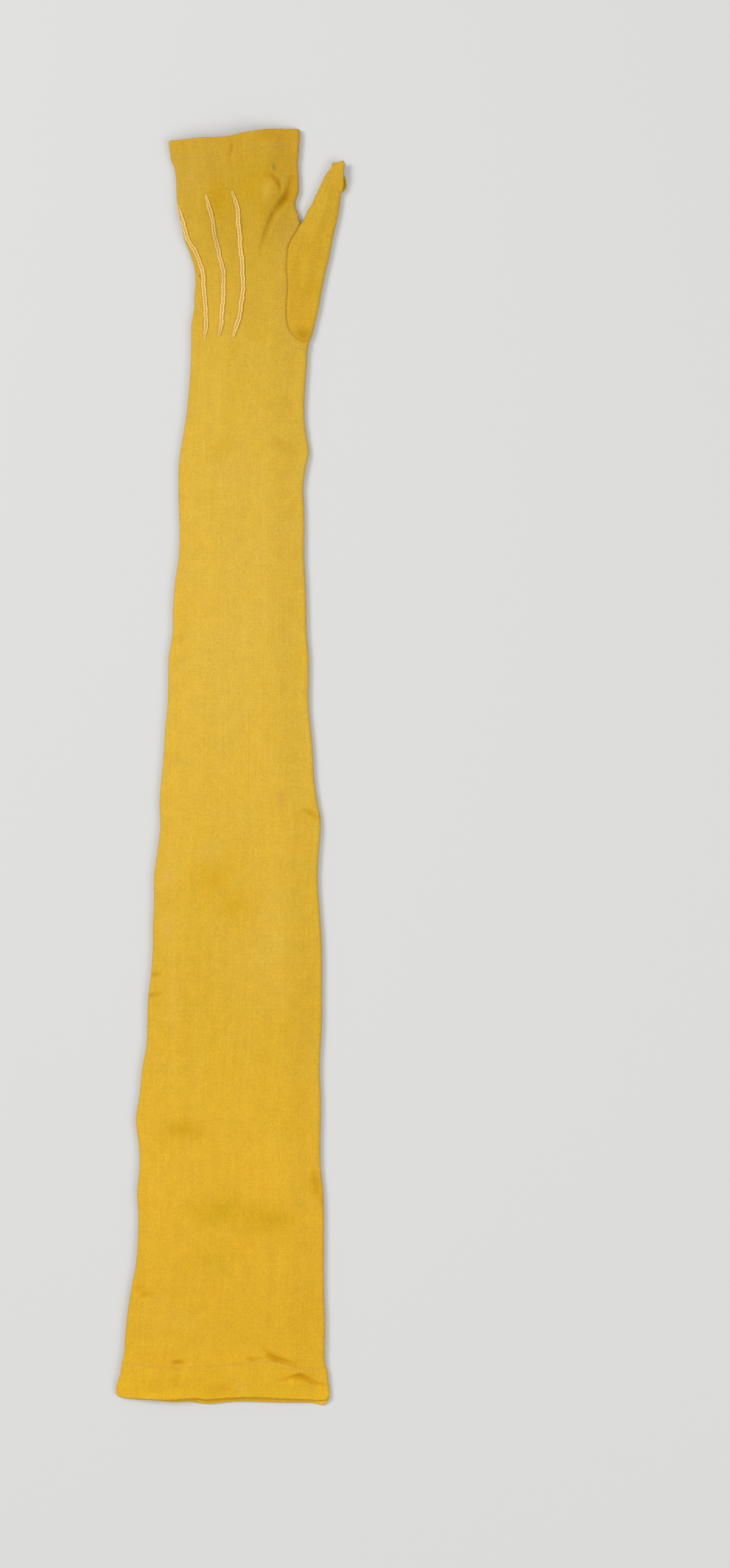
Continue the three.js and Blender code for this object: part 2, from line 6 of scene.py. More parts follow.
import bpy
import numpy as np
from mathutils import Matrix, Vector


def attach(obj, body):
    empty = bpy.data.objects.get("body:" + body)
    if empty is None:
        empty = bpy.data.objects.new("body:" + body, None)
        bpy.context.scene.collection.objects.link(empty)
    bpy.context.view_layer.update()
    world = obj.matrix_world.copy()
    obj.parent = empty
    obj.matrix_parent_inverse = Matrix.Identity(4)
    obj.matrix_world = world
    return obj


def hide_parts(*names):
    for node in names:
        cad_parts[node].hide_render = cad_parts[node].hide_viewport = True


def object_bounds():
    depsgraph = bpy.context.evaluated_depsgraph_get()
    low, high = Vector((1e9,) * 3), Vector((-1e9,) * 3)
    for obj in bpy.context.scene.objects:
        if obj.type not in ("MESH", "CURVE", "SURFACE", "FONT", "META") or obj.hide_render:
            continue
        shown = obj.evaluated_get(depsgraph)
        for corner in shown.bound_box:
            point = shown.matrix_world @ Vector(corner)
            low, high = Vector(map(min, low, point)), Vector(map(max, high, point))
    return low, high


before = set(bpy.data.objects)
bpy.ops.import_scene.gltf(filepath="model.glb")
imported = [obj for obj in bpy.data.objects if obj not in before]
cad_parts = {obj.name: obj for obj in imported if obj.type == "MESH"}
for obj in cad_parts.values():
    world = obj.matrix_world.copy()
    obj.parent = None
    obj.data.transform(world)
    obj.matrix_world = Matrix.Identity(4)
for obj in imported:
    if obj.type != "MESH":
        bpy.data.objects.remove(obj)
cad_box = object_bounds()

# Sizes that the plan shares with the CAD model
WRIST_WIDTH = 66
ARM_FLARE_LITTLE = 42
ARM_LENGTH = 597
ARM_LIP = 2.4
SEAM_LENGTH = 66.8  # up to the corner between hand and thumb

MM = 0.001
SHIFT = np.array([
    cad_box[0].x / MM + WRIST_WIDTH / 2 + ARM_FLARE_LITTLE,
    cad_box[0].y / MM + ARM_LENGTH + ARM_LIP,
    0.0,
])

# How the cloth lies
FOLD_HEIGHT = 1.6  # height of a folded edge above the ground
FOLD_RADIUS = 1.8  # how far in from the edge the fold is round
FOLD_SHARE = 0.34  # share of the tube's height that the fold itself reaches
CROWN = 22  # how far in from the edge the tube reaches its full height
CLOTH = 0.9  # thickness of one layer
HEM_CLOTH = 1.3
BAND_RISE = 0.26  # how far the sewn-down seam allowance stands above the cloth
PALM_LIFT = 0.12  # how far the palm layer lies above the ground between its high places
PALM_ON_BAND = 0.62  # how far it lies above the ground over the thumb's seam allowance
PALM_ON_SEAM = 0.42  # and over the side seam
GROOVE = 0.6  # depth of the back layer's groove along the thumb's seam
CLEAR = 0.01  # least height of anything above the ground

# Folded edges of the arm and hand: y, x. The tables run from the arm opening towards the fingers.
LITTLE_EDGE = [
    (-602, -74), (-598, -74.6), (-594, -75.2), (-591, -75.1), (-588, -74.3), (-583, -72.8),
    (-577, -72), (-572, -70.8), (-564, -70.4), (-550, -69), (-536, -66.9), (-522, -64.2),
    (-508, -63.2), (-495, -62.8), (-481, -63.5), (-467, -62.1), (-454, -62.5), (-440, -64.2),
    (-426, -62.1), (-412, -60.8), (-398, -58.2), (-385, -57.7), (-371, -57.3), (-357, -55.6),
    (-343, -54.6), (-330, -54.6), (-316, -53.9), (-302, -53.9), (-288, -52.1), (-275, -50.4),
    (-261, -50.8), (-247, -49.7), (-233, -48.4), (-220, -47.7), (-206, -46.3), (-192, -45.9),
    (-178, -45.6), (-165, -43.5), (-151, -43.2), (-137, -42.2), (-123, -40.1), (-109, -39.4),
    (-96, -39.8), (-82, -40.1), (-68, -39.8), (-54, -37.7), (-41, -35.6), (-27, -34.2),
    (-13, -33.2), (-1, -32.9), (9, -32.9), (16, -31.8), (20, -31.1), (26, -31.1), (33, -30.5),
    (40, -30.8), (44, -31.5), (51, -33.9), (58, -36.7), (64, -38), (71, -39.4), (75, -40.1),
    (82, -41.1), (92, -41.5), (99, -42.5), (102, -43.9), (106, -44.6), (113, -45.6), (118, -45.9),
]
THUMB_EDGE = [
    (-602, 43.6), (-598, 45.2), (-592, 45.3), (-588, 44.6), (-583, 44.2), (-577, 42.8),
    (-564, 42.8), (-550, 42.8), (-536, 42.2), (-509, 42.2), (-495, 42.2), (-481, 41.8),
    (-467, 40.4), (-454, 40.1), (-440, 40.4), (-426, 40.4), (-412, 39.8), (-398, 40.4),
    (-385, 41.1), (-371, 41.1), (-343, 41.1), (-330, 40.4), (-316, 39.4), (-302, 38.7),
    (-288, 39.4), (-275, 40.4), (-268, 40.1), (-261, 38.7), (-247, 36.7), (-233, 36),
    (-220, 34.9), (-206, 33.6), (-178, 33.6), (-165, 32.5), (-151, 32.2), (-137, 31.8),
    (-123, 31.1), (-96, 31.1), (-82, 30.5), (-68, 32.5), (-62, 33.8), (-54, 32.5), (-41, 31.1),
    (-27, 31.5), (-13, 32.5), (-4.1, 32.9), (0, 33.6),
]
HAND_EDGE = [
    (66.8, 28.7), (68.5, 28.2), (71.2, 27.7), (72.8, 27.4), (75, 26.9), (78, 26), (81.6, 26.8),
    (85, 28), (92, 28), (102, 27.5), (106, 28), (112, 28.3), (116, 28.5), (121, 28.3),
]
THUMB_OUTER = [
    (0, 33.6), (2.4, 34.8), (6, 36), (13, 37.7), (20, 39.4), (27, 40.5), (33, 41.8), (40, 43.2),
    (47, 44.9), (54, 46.3), (61, 47.7), (68, 49.4), (75, 50.8), (82, 51.6), (86, 52.4),
    (92, 52.7), (97, 52.6), (102.4, 53.2),
]
THUMB_INNER = [
    (66.8, 28.7), (68, 29.8), (71, 31.5), (75, 33.2), (78, 35.3), (82, 37), (85, 38.4),
    (92, 41.8), (95, 43.2), (98, 45.2), (99.5, 46.2), (101.5, 46.7),
]
# How far the palm layer shows past the back layer at the open outer side of the thumb's tip
THUMB_LAP = [(84, 0), (86, 0.9), (88, 1.8), (91, 1.5), (93.5, 0.9), (95.5, 0.1), (103, 0)]
MOUTH_START = 85  # where the thumb's outer side opens
THUMB_TOP = 101.9  # the thumb's last row
TIP_START, TIP_REACH = 94, 8  # where the thumb's rows begin to slant, and over what length

# Lines across the mitten: x, y
FINGER_EDGE = [
    (-48, 113), (-45.6, 113.2), (-27.4, 114.6), (-11.9, 115.3), (-3.3, 117.4), (10.5, 119.4),
    (28.4, 120.1), (31, 120),
]
FINGER_STITCH = [
    (-48, 103.2), (-44.6, 103.3), (-11.9, 105.7), (7.1, 109.8), (28.4, 112.2), (31, 112.3),
]
ARM_STITCH = [
    (-76, -577.8), (-71.8, -577.9), (-43.2, -579.6), (-20.5, -578.6), (11.9, -576.1),
    (28.7, -579.9), (43.5, -580.6), (46, -580.7),
]
ARM_EDGE_BACK = [
    (-76, -594.5), (-74.2, -595.7), (-71.5, -596.5), (-64, -597), (-50.8, -597.6),
    (-40.2, -597.4), (-31.6, -596.6), (-24.3, -597.5), (-14.4, -596.7), (1.2, -596.2),
    (11.2, -596.5), (24.4, -597.2), (33.6, -597.6), (40.5, -598.1), (43.4, -597.6), (46, -595.8),
]
ARM_EDGE_PALM = [
    (-76, -594.5), (-74.2, -596), (-64, -597.7), (-52.1, -598.4), (-46.8, -599), (-40.2, -599.3),
    (-34.9, -598.9), (-24.3, -600.2), (-13.7, -599.3), (-7.4, -598.8), (4.5, -599),
    (20.4, -599.5), (36.3, -599.6), (38.6, -600.4), (41, -600.8), (43.4, -599.9), (46, -596.2),
]

# The thumb's seam on both sides of the hand, and the outer line of the seam allowance: x, y
BACK_SEAM = [
    (33.6, 0), (31.1, 0.1), (27.4, 1.7), (24.3, 4.8), (22.2, 8.3), (21.2, 13.1), (21.2, 22),
    (21.9, 31.7), (21.2, 42), (21.9, 52.3), (23.2, 56.8), (26.3, 62.3), (28.7, 66.8),
]
BACK_BAND = [
    (32.9, -4.1), (28.4, -3.7), (23.2, -1.7), (19.4, 3.1), (16.9, 9.3), (16.2, 20.7),
    (16.6, 34.1), (16.3, 46.8), (17.7, 55.4), (21, 62.3), (24.9, 67.8), (27.4, 72.8),
]
PALM_SEAM = [
    (33.6, 0), (27.2, 0.1), (22.2, 0.6), (17.9, 3.7), (14.5, 8.7), (12.5, 14.7), (11.8, 22),
    (12.3, 31.1), (15.1, 42.4), (18.5, 52.6), (22, 58.8), (25.8, 62.8), (28.7, 66.8),
]
PALM_BAND = [
    (32.9, -4.1), (27.5, -3.9), (21, -3.3), (15, -0.6), (10.6, 5.5), (7.7, 13.5), (6.6, 22),
    (7.3, 32), (10.3, 44), (14.1, 55.3), (18.4, 62.8), (23.4, 68.2), (27.4, 72.8),
]

# Height of the tube along its length: y, height
LOFT_ROWS = [
    (-600, 4.3), (-594, 5.2), (-586, 7), (-576, 7.9), (-560, 7.9), (-480, 7.7), (-340, 7.8),
    (-240, 7.6), (-150, 7.9), (-60, 7.5), (0, 7.7), (60, 7.6), (96, 7.8), (108, 8.4), (121, 8.7),
]

# Folds and dents of the back layer: half width, rise at the middle, painted shade along its
# middle, and the x, y points of the line that it follows
RISE, SHADE = 1, 2  # columns
FOLDS = [
    (1.4, -1.3, 0.09, [(27.2, 97), (24.3, 93.3), (23, 88.5), (20.6, 82.5), (16.8, 77),
     (13.3, 71.2), (10.9, 65.2), (8.8, 59.2), (7, 52.3), (6.2, 46)]),
    (2, -0.55, 0.08, [(27.5, 86.2), (24.9, 84.4), (20.8, 81.8), (17.4, 78.2), (15.2, 75.2)]),
    (1.7, 0.5, 0, [(24.6, 81.2), (19.6, 74.7), (14.6, 66.9), (10.4, 56.6)]),
    (3.2, 0.5, 0, [(27.3, 88), (22.4, 78), (18.2, 68), (14.5, 58)]),
    (4.4, 0.6, 0, [(21, 97), (16, 88), (9.5, 78), (4, 66)]),
    (0.9, -1, 0.12, [(7.6, 93.6), (9.6, 94.6), (12, 94.5), (14.8, 92.7), (16.9, 90.2),
     (17.8, 86.7), (17.8, 84)]),
    (2.1, 0.35, 0.035, [(10.2, 92.4), (13.2, 90.8), (15.2, 87.6)]),
    (1.4, 0.35, 0, [(14.6, 95), (18.4, 92.4), (20, 88.6)]),
    (0.9, -0.8, 0.06, [(-9.6, 117), (-9.2, 110), (-10.8, 104), (-9, 98)]),
    (0.8, 0.5, 0, [(-28.9, 37.9), (-27.9, 37.9)]),
    (1, -1.1, 0.12, [(-43.4, -576.9), (-39.6, -576.1), (-35.4, -577.6)]),
    (1, -0.5, 0.05, [(-41.6, -584.6), (-41.4, -590.4)]),
    (0.8, -0.8, 0.12, [(-3.6, -573.8), (2.6, -574.9), (6.5, -574.3), (8.6, -575.8)]),
    (1.1, -1.2, 0.14, [(7.4, -567.6), (10.4, -571.2), (14.5, -573.9), (21.8, -576.6),
     (28.4, -578.6)]),
    (1.4, -0.6, 0.1, [(9.2, -571.6), (12.2, -574.2), (17.6, -576.6)]),
    (1.8, 0.6, 0, [(9.4, -567), (19.5, -571.4), (28.5, -575.8)]),
    (1, -1.2, 0.12, [(16.5, -587.9), (21.8, -586), (25.7, -584.7), (28.7, -584.1), (31, -584.9),
     (34.2, -587.3), (37.6, -588.7), (45.3, -591)]),
    (1.5, -0.4, 0.09, [(24, -586.4), (29, -585.6), (33, -587.8)]),
    (1.9, 0.5, 0, [(22, -590), (31, -588.6), (39, -592)]),
    (1.5, 0.4, 0, [(26, -581.6), (32, -582.8), (39, -586)]),
    (3, -0.45, 0, [(-28, -586), (-28.5, -598)]),
    (3, -0.4, 0, [(-12, -584), (-12.8, -598)]),
    (4, 0.3, 0, [(2, -588), (3, -598)]),
    (4, -0.4, 0, [(-58, -590), (-50, -597)]),
    (1.3, -1, 0.1, [(41, -271), (36, -266.5), (30, -264)]),
    (2.4, 0.4, 0, [(40, -262), (35, -258), (28, -257)]),
    (1, -0.8, 0.07, [(-55.6, -357.8), (-52.6, -357.6), (-49.6, -357.1)]),
    (1.3, -0.8, 0.07, [(-57, -369.2), (-53.2, -369.4), (-49.4, -368.7)]),
    (1.9, -0.7, 0.07, [(35.2, -467), (37.7, -474), (39.7, -481), (41.4, -487)]),
    (1.5, -0.35, 0.02, [(-60.8, -529.7), (-39.2, -542.1), (-17.5, -552.9), (7.2, -569.9)]),
    (0.9, 0.22, 0, [(-39.2, -166.6), (-16, -169.8), (7.1, -175), (31.9, -173.5)]),
    (0.9, -0.3, 0.018, [(-3.6, -226), (10.2, -205.9), (31.9, -184.3)]),
    (0.9, -0.3, 0.018, [(-36.1, -232.2), (-6.7, -233.7), (7.2, -226), (35, -222.9)]),
    (1.5, -0.3, 0.03, [(11, -51), (20, -59.5), (29, -64)]),
    (1.4, -1, 0.08, [(-66.5, -533), (-60, -537.5), (-52, -540)]),
    (2.6, -0.4, 0, [(-64, -545), (-54, -549), (-40, -551)]),
    (2, -0.5, 0, [(42.5, -508), (36, -512), (28, -514)]),
    (1.8, -0.6, 0, [(-64.4, -440), (-58, -443), (-51, -444)]),
    (2.2, -0.5, 0, [(34, -63), (28, -66), (20, -67)]),
    (1.6, -0.3, 0, [(-33.2, 20), (-27.2, 17), (-21, 16)]),
    (1.8, -0.4, 0, [(-30.5, 34), (-27.6, 48), (-33.5, 60)]),
    (1.1, -0.6, 0.06, [(27.5, 79), (23.5, 80), (20, 82)]),
    (1.9, -0.8, 0.03, [(27.6, 7.5), (30.5, 4.4), (33.6, 2.6)]),
    (2.2, -0.45, 0, [(27, 36), (29.5, 52), (33.5, 64)]),
    (2.6, 0.35, 0, [(31, 30), (35.5, 46), (38.5, 60)]),
    (1.6, -0.5, 0, [(44.5, 86), (47, 94), (49, 101)]),
]

# The three points of embroidery on the back of the hand, from the fingers to the wrist: x, y
POINTS = {
    "point_little_finger": [
        (-40.1, 77.1), (-37.7, 68.1), (-34.2, 57.1), (-29.4, 48.9), (-26.3, 38.2), (-25.3, 25.1),
        (-24.4, 16.2), (-24.6, 8), (-25, 2.1),
    ],
    "point_ring_finger": [
        (-24.6, 82.6), (-21.7, 73), (-19.6, 61.6), (-17.6, 51.6), (-15, 41.6), (-14.3, 32),
        (-15, 20.3), (-15.7, 10.3), (-17, 3.4),
    ],
    "point_middle_finger": [
        (-9.5, 85), (-6.9, 76.4), (-5.7, 63.7), (-5, 54.7), (-4, 44.1), (-3.4, 31), (-4.5, 20.3),
        (-6.4, 10.7), (-9.1, 2.4),
    ],
}

# Small curls of thread: x, y, turn in degrees, reach
CURLS = [(-28.7, 37.8, 100, 0.8), (-13.2, 26.4, 150, 0.65), (-13.4, 28, 260, 0.5)]

# Colour of the cloth along the mitten: y, then red, green and blue as on a screen. The hand is
# darker and browner than the arm, partly the silk's own tone and partly painted shade
CLOTH_TONES = [
    (-600, 233, 181, 35), (-578, 228, 177, 37), (-560, 224, 173, 38), (-470, 228, 177, 44),
    (-360, 220, 175, 46), (-250, 224, 180, 56), (-120, 222, 179, 58), (-30, 219, 177, 57),
    (20, 213, 171, 52), (70, 206, 164, 46), (105, 205, 161, 44), (121, 207, 162, 41),
]
THUMB_TONES = [(0, 209, 162, 34), (12, 217, 170, 40), (60, 211, 167, 42), (103, 208, 165, 44)]

# Patches where the colour changes: x, y, half length across, half length along, red, green,
# blue, strength. Most are dye, wear or dirt; the ones in creases, notches and dents are painted
# shade, and a few paler ones beside folds are painted light
PATCHES = [
    (-18, 80.5, 7, 11, 198, 154, 14, 0.8), (-8, 66, 9, 20, 200, 157, 34, 0.4),
    (14, 74, 10, 20, 199, 155, 32, 0.35), (-2, 100, 18, 7, 205, 160, 38, 0.3),
    (-34, 95, 9, 14, 203, 164, 62, 0.4), (-20, 97, 9, 6, 198, 155, 52, 0.4),
    (20, 103, 9, 6, 196, 150, 30, 0.35), (17, 62, 6, 12, 206, 166, 66, 0.3),
    (2.2, 87, 11, 14, 202, 159, 20, 0.7), (-22, 60, 3, 14, 198, 152, 38, 0.35),
    (21, 115, 9, 5, 210, 154, 38, 0.5), (-17.5, -60.6, 7, 9, 213, 168, 42, 0.4),
    (-11.4, -74.6, 9, 6, 219, 176, 80, 0.4), (21, -60.7, 6, 5, 208, 164, 46, 0.35),
    (-8, -107, 14, 10, 221, 176, 50, 0.4), (-5, -139, 22, 9, 224, 177, 50, 0.4),
    (-38.6, -167.3, 2.4, 2.6, 196, 156, 48, 0.5), (-37.6, -181.2, 3, 4, 206, 168, 60, 0.4),
    (-41.8, -236.8, 6, 2.6, 208, 170, 66, 0.45), (-35, -131.8, 4, 3, 214, 178, 76, 0.4),
    (18, -258.5, 4.4, 4.8, 204, 161, 64, 0.45), (28, -267.7, 5, 4, 221, 168, 36, 0.4),
    (-20.6, -303, 10, 9, 216, 167, 28, 0.7), (-8.3, -319, 9, 8, 214, 165, 24, 0.7),
    (-20.6, -287.8, 7, 6, 218, 174, 70, 0.35), (-46.9, -303, 5, 6, 227, 182, 84, 0.45),
    (-46.9, -331, 5, 8, 226, 183, 82, 0.35), (-45.6, -317, 2, 3, 208, 160, 44, 0.4),
    (-36, -380, 1.3, 30, 214, 164, 38, 0.3), (-43, -372, 2.2, 28, 226, 182, 76, 0.3),
    (33.4, -395.3, 5, 6, 214, 168, 60, 0.3), (-38, -445, 11, 5, 208, 159, 20, 0.8),
    (19.6, -440, 12, 12, 218, 172, 38, 0.4), (-16, -491, 16, 9, 211, 163, 20, 0.8),
    (10, -496, 13, 8, 210, 161, 18, 0.8), (-8.4, -513, 7, 5, 221, 168, 26, 0.45),
    # (-42, -552) is painted light on the flap below the long diagonal fold
    (-42, -552, 20, 8, 227, 181, 62, 0.4), (-51.5, -575, 9, 4, 227, 167, 32, 0.45),
    (-16, -591.5, 9, 4, 220, 160, 22, 0.5), (30, -581, 9, 5, 227, 167, 30, 0.45),
    # (37.5, -477) is painted shade in the crease at the right edge
    (37.5, -477, 4, 8, 207, 158, 20, 0.4), (0, -130, 26, 60, 226, 184, 76, 0.4),
    (-14, -190, 20, 40, 226, 184, 74, 0.3), (4, -350, 24, 30, 225, 181, 66, 0.35),
    # From (19.4, 80.6) to (16.7, 89.7): painted shade in the fold on the back of the hand; (9.6,
    # 84.5), (12.4, 90) and (20, 91.5): painted highlight on the ridges beside it
    (14, -330, 10, 30, 230, 188, 80, 0.3), (19.4, 80.6, 2.4, 2.8, 192, 144, 4, 0.6),
    (21.9, 84.6, 1.6, 2.4, 188, 138, 4, 0.6), (24.4, 91.5, 1.8, 3.6, 196, 146, 8, 0.6),
    (16.7, 89.7, 0.9, 1.6, 188, 136, 4, 0.6), (9.6, 84.5, 3, 6, 222, 178, 72, 0.5),
    (12.4, 90, 2.2, 1.8, 220, 177, 70, 0.5), (20, 91.5, 1.4, 3, 214, 171, 66, 0.5),
    # (-5, -590) is painted light on the hem beside a dent
    (10, 117, 5, 3, 192, 146, 20, 0.5), (-5, -590, 4, 4, 240, 190, 70, 0.6),
    (-20, -520, 9, 9, 211, 165, 28, 0.5), (0, 20, 10, 8, 206, 162, 48, 0.4),
    (13.9, 99.2, 0.8, 1.3, 144, 124, 66, 0.8), (12.9, 100.8, 0.7, 0.7, 158, 134, 62, 0.5),
    (14.3, 97, 0.8, 0.9, 148, 124, 54, 0.75), (-38.5, 88.5, 1.6, 1.4, 188, 158, 66, 0.5),
    # Painted shade in the pucker and dents below the arm's stitches, in the two notches of the
    # little-finger edge, and in the two creases at the right edge
    (-40.8, -576.6, 2.2, 0.8, 188, 128, 34, 0.6), (-40.4, -580.6, 1.2, 0.7, 208, 140, 56, 0.6),
    (-40.8, -584, 1, 0.6, 212, 146, 60, 0.6), (-41.4, -589.6, 1.5, 0.8, 206, 144, 40, 0.6),
    (-54.6, -357.8, 2.4, 1.1, 198, 148, 26, 0.5), (-55.4, -369.4, 2.6, 1.3, 198, 148, 30, 0.5),
    (40, -268, 1.2, 1.4, 196, 150, 50, 0.5), (41, -486, 1, 2.4, 192, 142, 36, 0.5),
]
PALM_PATCHES = [
    (4, 70, 18, 22, 204, 160, 38, 0.4), (-20, 20, 12, 26, 217, 175, 66, 0.35),
    (-4, -120, 22, 40, 226, 182, 72, 0.35), (8, -260, 18, 22, 216, 168, 42, 0.4),
    (-16, -390, 26, 34, 226, 182, 64, 0.35), (6, -500, 24, 18, 216, 166, 30, 0.45),
]
FOLD_DARK = (1.2, 2.1, 8)  # how strongly a fold's painted shade takes away red, green and blue
EDGE_HIGHLIGHT = (228, 190, 104)  # painted highlight: a paler rim along the folded edges
EDGE_HIGHLIGHT_SHARE = (0.35, 0.25, 0.2)  # how much of it there is on each of FOLD_LINES
# The thumb's patches, as in PATCHES; the first, at the base of the thumb, is painted shade
THUMB_PATCHES = [
    (31.7, 4.6, 4.2, 3.2, 190, 145, 14, 0.75), (36, 30, 8, 4.5, 203, 156, 24, 0.5),
    (34, 56, 5, 8, 208, 162, 34, 0.35), (44.8, 95, 3.4, 4, 202, 158, 60, 0.4),
]
# Where the silk of the points is worn or browned: x, y, half length across, half length along,
# then how much of the red, green and blue is left
WORN = [
    (-21, 76, 4, 12, 0.86, 0.84, 0.7), (-18, 60, 3, 10, 0.8, 0.76, 0.6),
    (-9, 81, 3, 7, 0.88, 0.86, 0.7), (-25, 5, 2, 6, 0.92, 0.9, 0.78),
    (-15, 40, 2, 6, 0.9, 0.88, 0.82), (-16.6, 5, 2, 4, 0.86, 0.84, 0.72),
    (-30, 50, 3, 6, 0.95, 0.93, 0.82), (-28.9, 37.9, 1, 1, 0.88, 0.8, 0.5),
]


def along(table, at, column=1):
    """A table's column at places between its rows, on a smooth curve through them."""
    rows = np.array(table, float)
    key, value = rows[:, 0], rows[:, column]
    slope = np.gradient(value, key)
    slope[1:-1] = (value[2:] - value[:-2]) / (key[2:] - key[:-2])
    at = np.clip(at, key[0], key[-1])
    i = np.clip(np.searchsorted(key, at) - 1, 0, len(key) - 2)
    step = key[i + 1] - key[i]
    t = (at - key[i]) / step
    return (
        value[i] * (1 + 2 * t) * (1 - t) ** 2
        + slope[i] * step * t * (1 - t) ** 2
        + value[i + 1] * t * t * (3 - 2 * t)
        - slope[i + 1] * step * t * t * (1 - t)
    )


def smooth(t):
    t = np.clip(t, 0, 1)
    return t * t * (3 - 2 * t)


def quick(t):
    """A quarter of a circle: steep at 0 and level at 1."""
    return np.sqrt(1 - (1 - np.clip(t, 0, 1)) ** 2)


def smooth_line(points, step=0.5):
    """Points a step apart on a smooth curve through the given ones."""
    points = np.array(points, float)
    run = np.concatenate([[0], np.cumsum(np.linalg.norm(np.diff(points, axis=0), axis=1))])
    at = np.linspace(0, run[-1], max(2, int(run[-1] / step) + 1))
    columns = [along(np.column_stack([run, column]), at) for column in points.T]
    return np.column_stack(columns)


def even(line, places):
    """A line's points at the given distances from its start."""
    run = np.concatenate([[0], np.cumsum(np.linalg.norm(np.diff(line, axis=0), axis=1))])
    return np.column_stack([np.interp(places, run, column) for column in line.T])


def length_of(line):
    return np.linalg.norm(np.diff(line, axis=0), axis=1).sum()


def beside(places, line, chunk=3000):
    """Distance of places in plan from a line, and how far along the line its nearest point is."""
    a, ab = line[:-1], np.diff(line, axis=0)
    lengths = np.maximum(np.linalg.norm(ab, axis=1), 1e-9)
    starts = np.concatenate([[0], np.cumsum(lengths)[:-1]])
    distance, run = np.empty(len(places)), np.empty(len(places))
    for start in range(0, len(places), chunk):
        p = places[start:start + chunk, None, :]
        t = np.clip(((p - a) * ab).sum(2) / lengths ** 2, 0, 1)
        away = np.hypot(p[..., 0] - a[:, 0] - t * ab[:, 0], p[..., 1] - a[:, 1] - t * ab[:, 1])
        best = away.argmin(1)
        rows = np.arange(len(best))
        distance[start:start + chunk] = away[rows, best]
        run[start:start + chunk] = starts[best] + t[rows, best] * lengths[best]
    return distance, run / lengths.sum()


def edge_points(table, step, high=None):
    """Points a step apart along a folded edge, from its first row to its last, or to high."""
    low, high = table[0][0], table[-1][0] if high is None else high
    y = np.linspace(low, high, int((high - low) / step) + 1)
    return np.column_stack([along(table, y), y])


# The folds: the little-finger side, arm and thumb, and from the thumb's tip to the fingers
FOLD_LINES = [
    edge_points(LITTLE_EDGE, 3),
    np.vstack([edge_points(THUMB_EDGE, 3), edge_points(THUMB_OUTER, 2, MOUTH_START)[1:]]),
    np.vstack([edge_points(THUMB_INNER, 1.5)[::-1], edge_points(HAND_EDGE, 1.5)[1:]]),
]
SEAMS = {"back": smooth_line(BACK_SEAM), "palm": smooth_line(PALM_SEAM)}
BANDS = {"back": smooth_line(BACK_BAND), "palm": smooth_line(PALM_BAND)}
BAND_MIDDLE = smooth_line((np.array(PALM_SEAM) + np.array(PALM_BAND)) / 2)


def waves(places, seed, shortest, longest, stretch, count=26):
    """Gentle rises and dips between -1 and 1, from plane waves in many directions."""
    random = np.random.default_rng(seed)
    total = np.zeros(len(places))
    for _ in range(count):
        turn, phase = random.uniform(0, math.tau, 2)
        number = math.tau / random.uniform(shortest, longest)
        across = places[:, 0] * math.cos(turn) + places[:, 1] / stretch * math.sin(turn)
        total += np.sin(across * number + phase)
    return total / math.sqrt(2 * count)


def folded(places, value):
    """What the folds add up to at places in plan: their RISE, or their painted SHADE."""
    total = np.zeros(len(places))
    for fold in (fold for fold in FOLDS if fold[value]):
        width, line = fold[0], smooth_line(fold[-1], 1.0)
        low = line.min(0) - 3 * width
        high = line.max(0) + 3 * width
        near = ((places > low) & (places < high)).all(1)
        if near.any():
            away, share = beside(places[near], line)
            fade = np.sin(np.pi * np.clip(share, 0, 1)) ** 0.7
            total[near] += fold[value] * fade * np.exp(-(away / width) ** 2)
    return total


def seam_inset(y):
    """How far the long seam on the palm lies in from the little-finger edge."""
    return 3 + 5.6 * smooth(y / 60)


def heights(places):
    """Height of the back layer's upper face and of the palm layer's lower face."""
    x, y = places.T
    away = np.min([beside(places, line)[0] for line in FOLD_LINES], axis=0)
    full = FOLD_SHARE * quick(away / FOLD_RADIUS) + (1 - FOLD_SHARE) * smooth(away / CROWN)
    lie = smooth(away / 7)
    back = FOLD_HEIGHT + (along(LOFT_ROWS, y) - FOLD_HEIGHT) * full
    back += lie * (0.26 * waves(places, 3, 18, 60, 1.8) + 0.06 * waves(places, 5, 5, 11, 3.0))
    back += lie * 0.1 * waves(places, 6, 8, 20, 1.6)
    back += folded(places, RISE) * smooth(away / 2.5)
    groove = beside(places, SEAMS["back"])[0]
    back -= GROOVE * np.exp(-(groove / 0.55) ** 2) * quick(away / 2)
    band = PALM_ON_BAND * (1 - smooth((beside(places, BAND_MIDDLE)[0] - 2.6) / 8))
    left = along(LITTLE_EDGE, y)
    seam = PALM_ON_SEAM * (1 - smooth((np.abs(x - left - seam_inset(y)) - 0.7) / 5))
    ground = PALM_LIFT + 0.1 * (1 + np.clip(waves(places, 8, 14, 50, 1.8), -1, 1))
    palm = np.maximum.reduce([ground, band, seam])
    palm = palm + (FOLD_HEIGHT - palm) * (1 - quick(away / FOLD_RADIUS))
    return back, palm


INSETS = np.array([0, 0.12, 0.35, 0.7, 1.15, 1.8, 2.8, 4.2])


def columns(start, end, middle):
    """Places across a layer, from start to end on each row, close together at both folds."""
    start, end = np.asarray(start)[:, None], np.asarray(end)[:, None]
    way = np.sign(end - start)
    shrink = np.minimum(1, np.abs(end - start) / (2.4 * INSETS[-1]))
    first = start + way * shrink * INSETS
    last = end - way * shrink * INSETS[::-1]
    shares = np.linspace(0, 1, middle + 2)[1:-1] ** 1.2
    return np.hstack([first, first[:, -1:] + (last[:, :1] - first[:, -1:]) * shares, last])


# Where the rows begin to lean with a hem, and the row that lies along its stitches
HAND_START, HAND_STATION = 76, 105
ARM_START, ARM_STATION = -552, -579


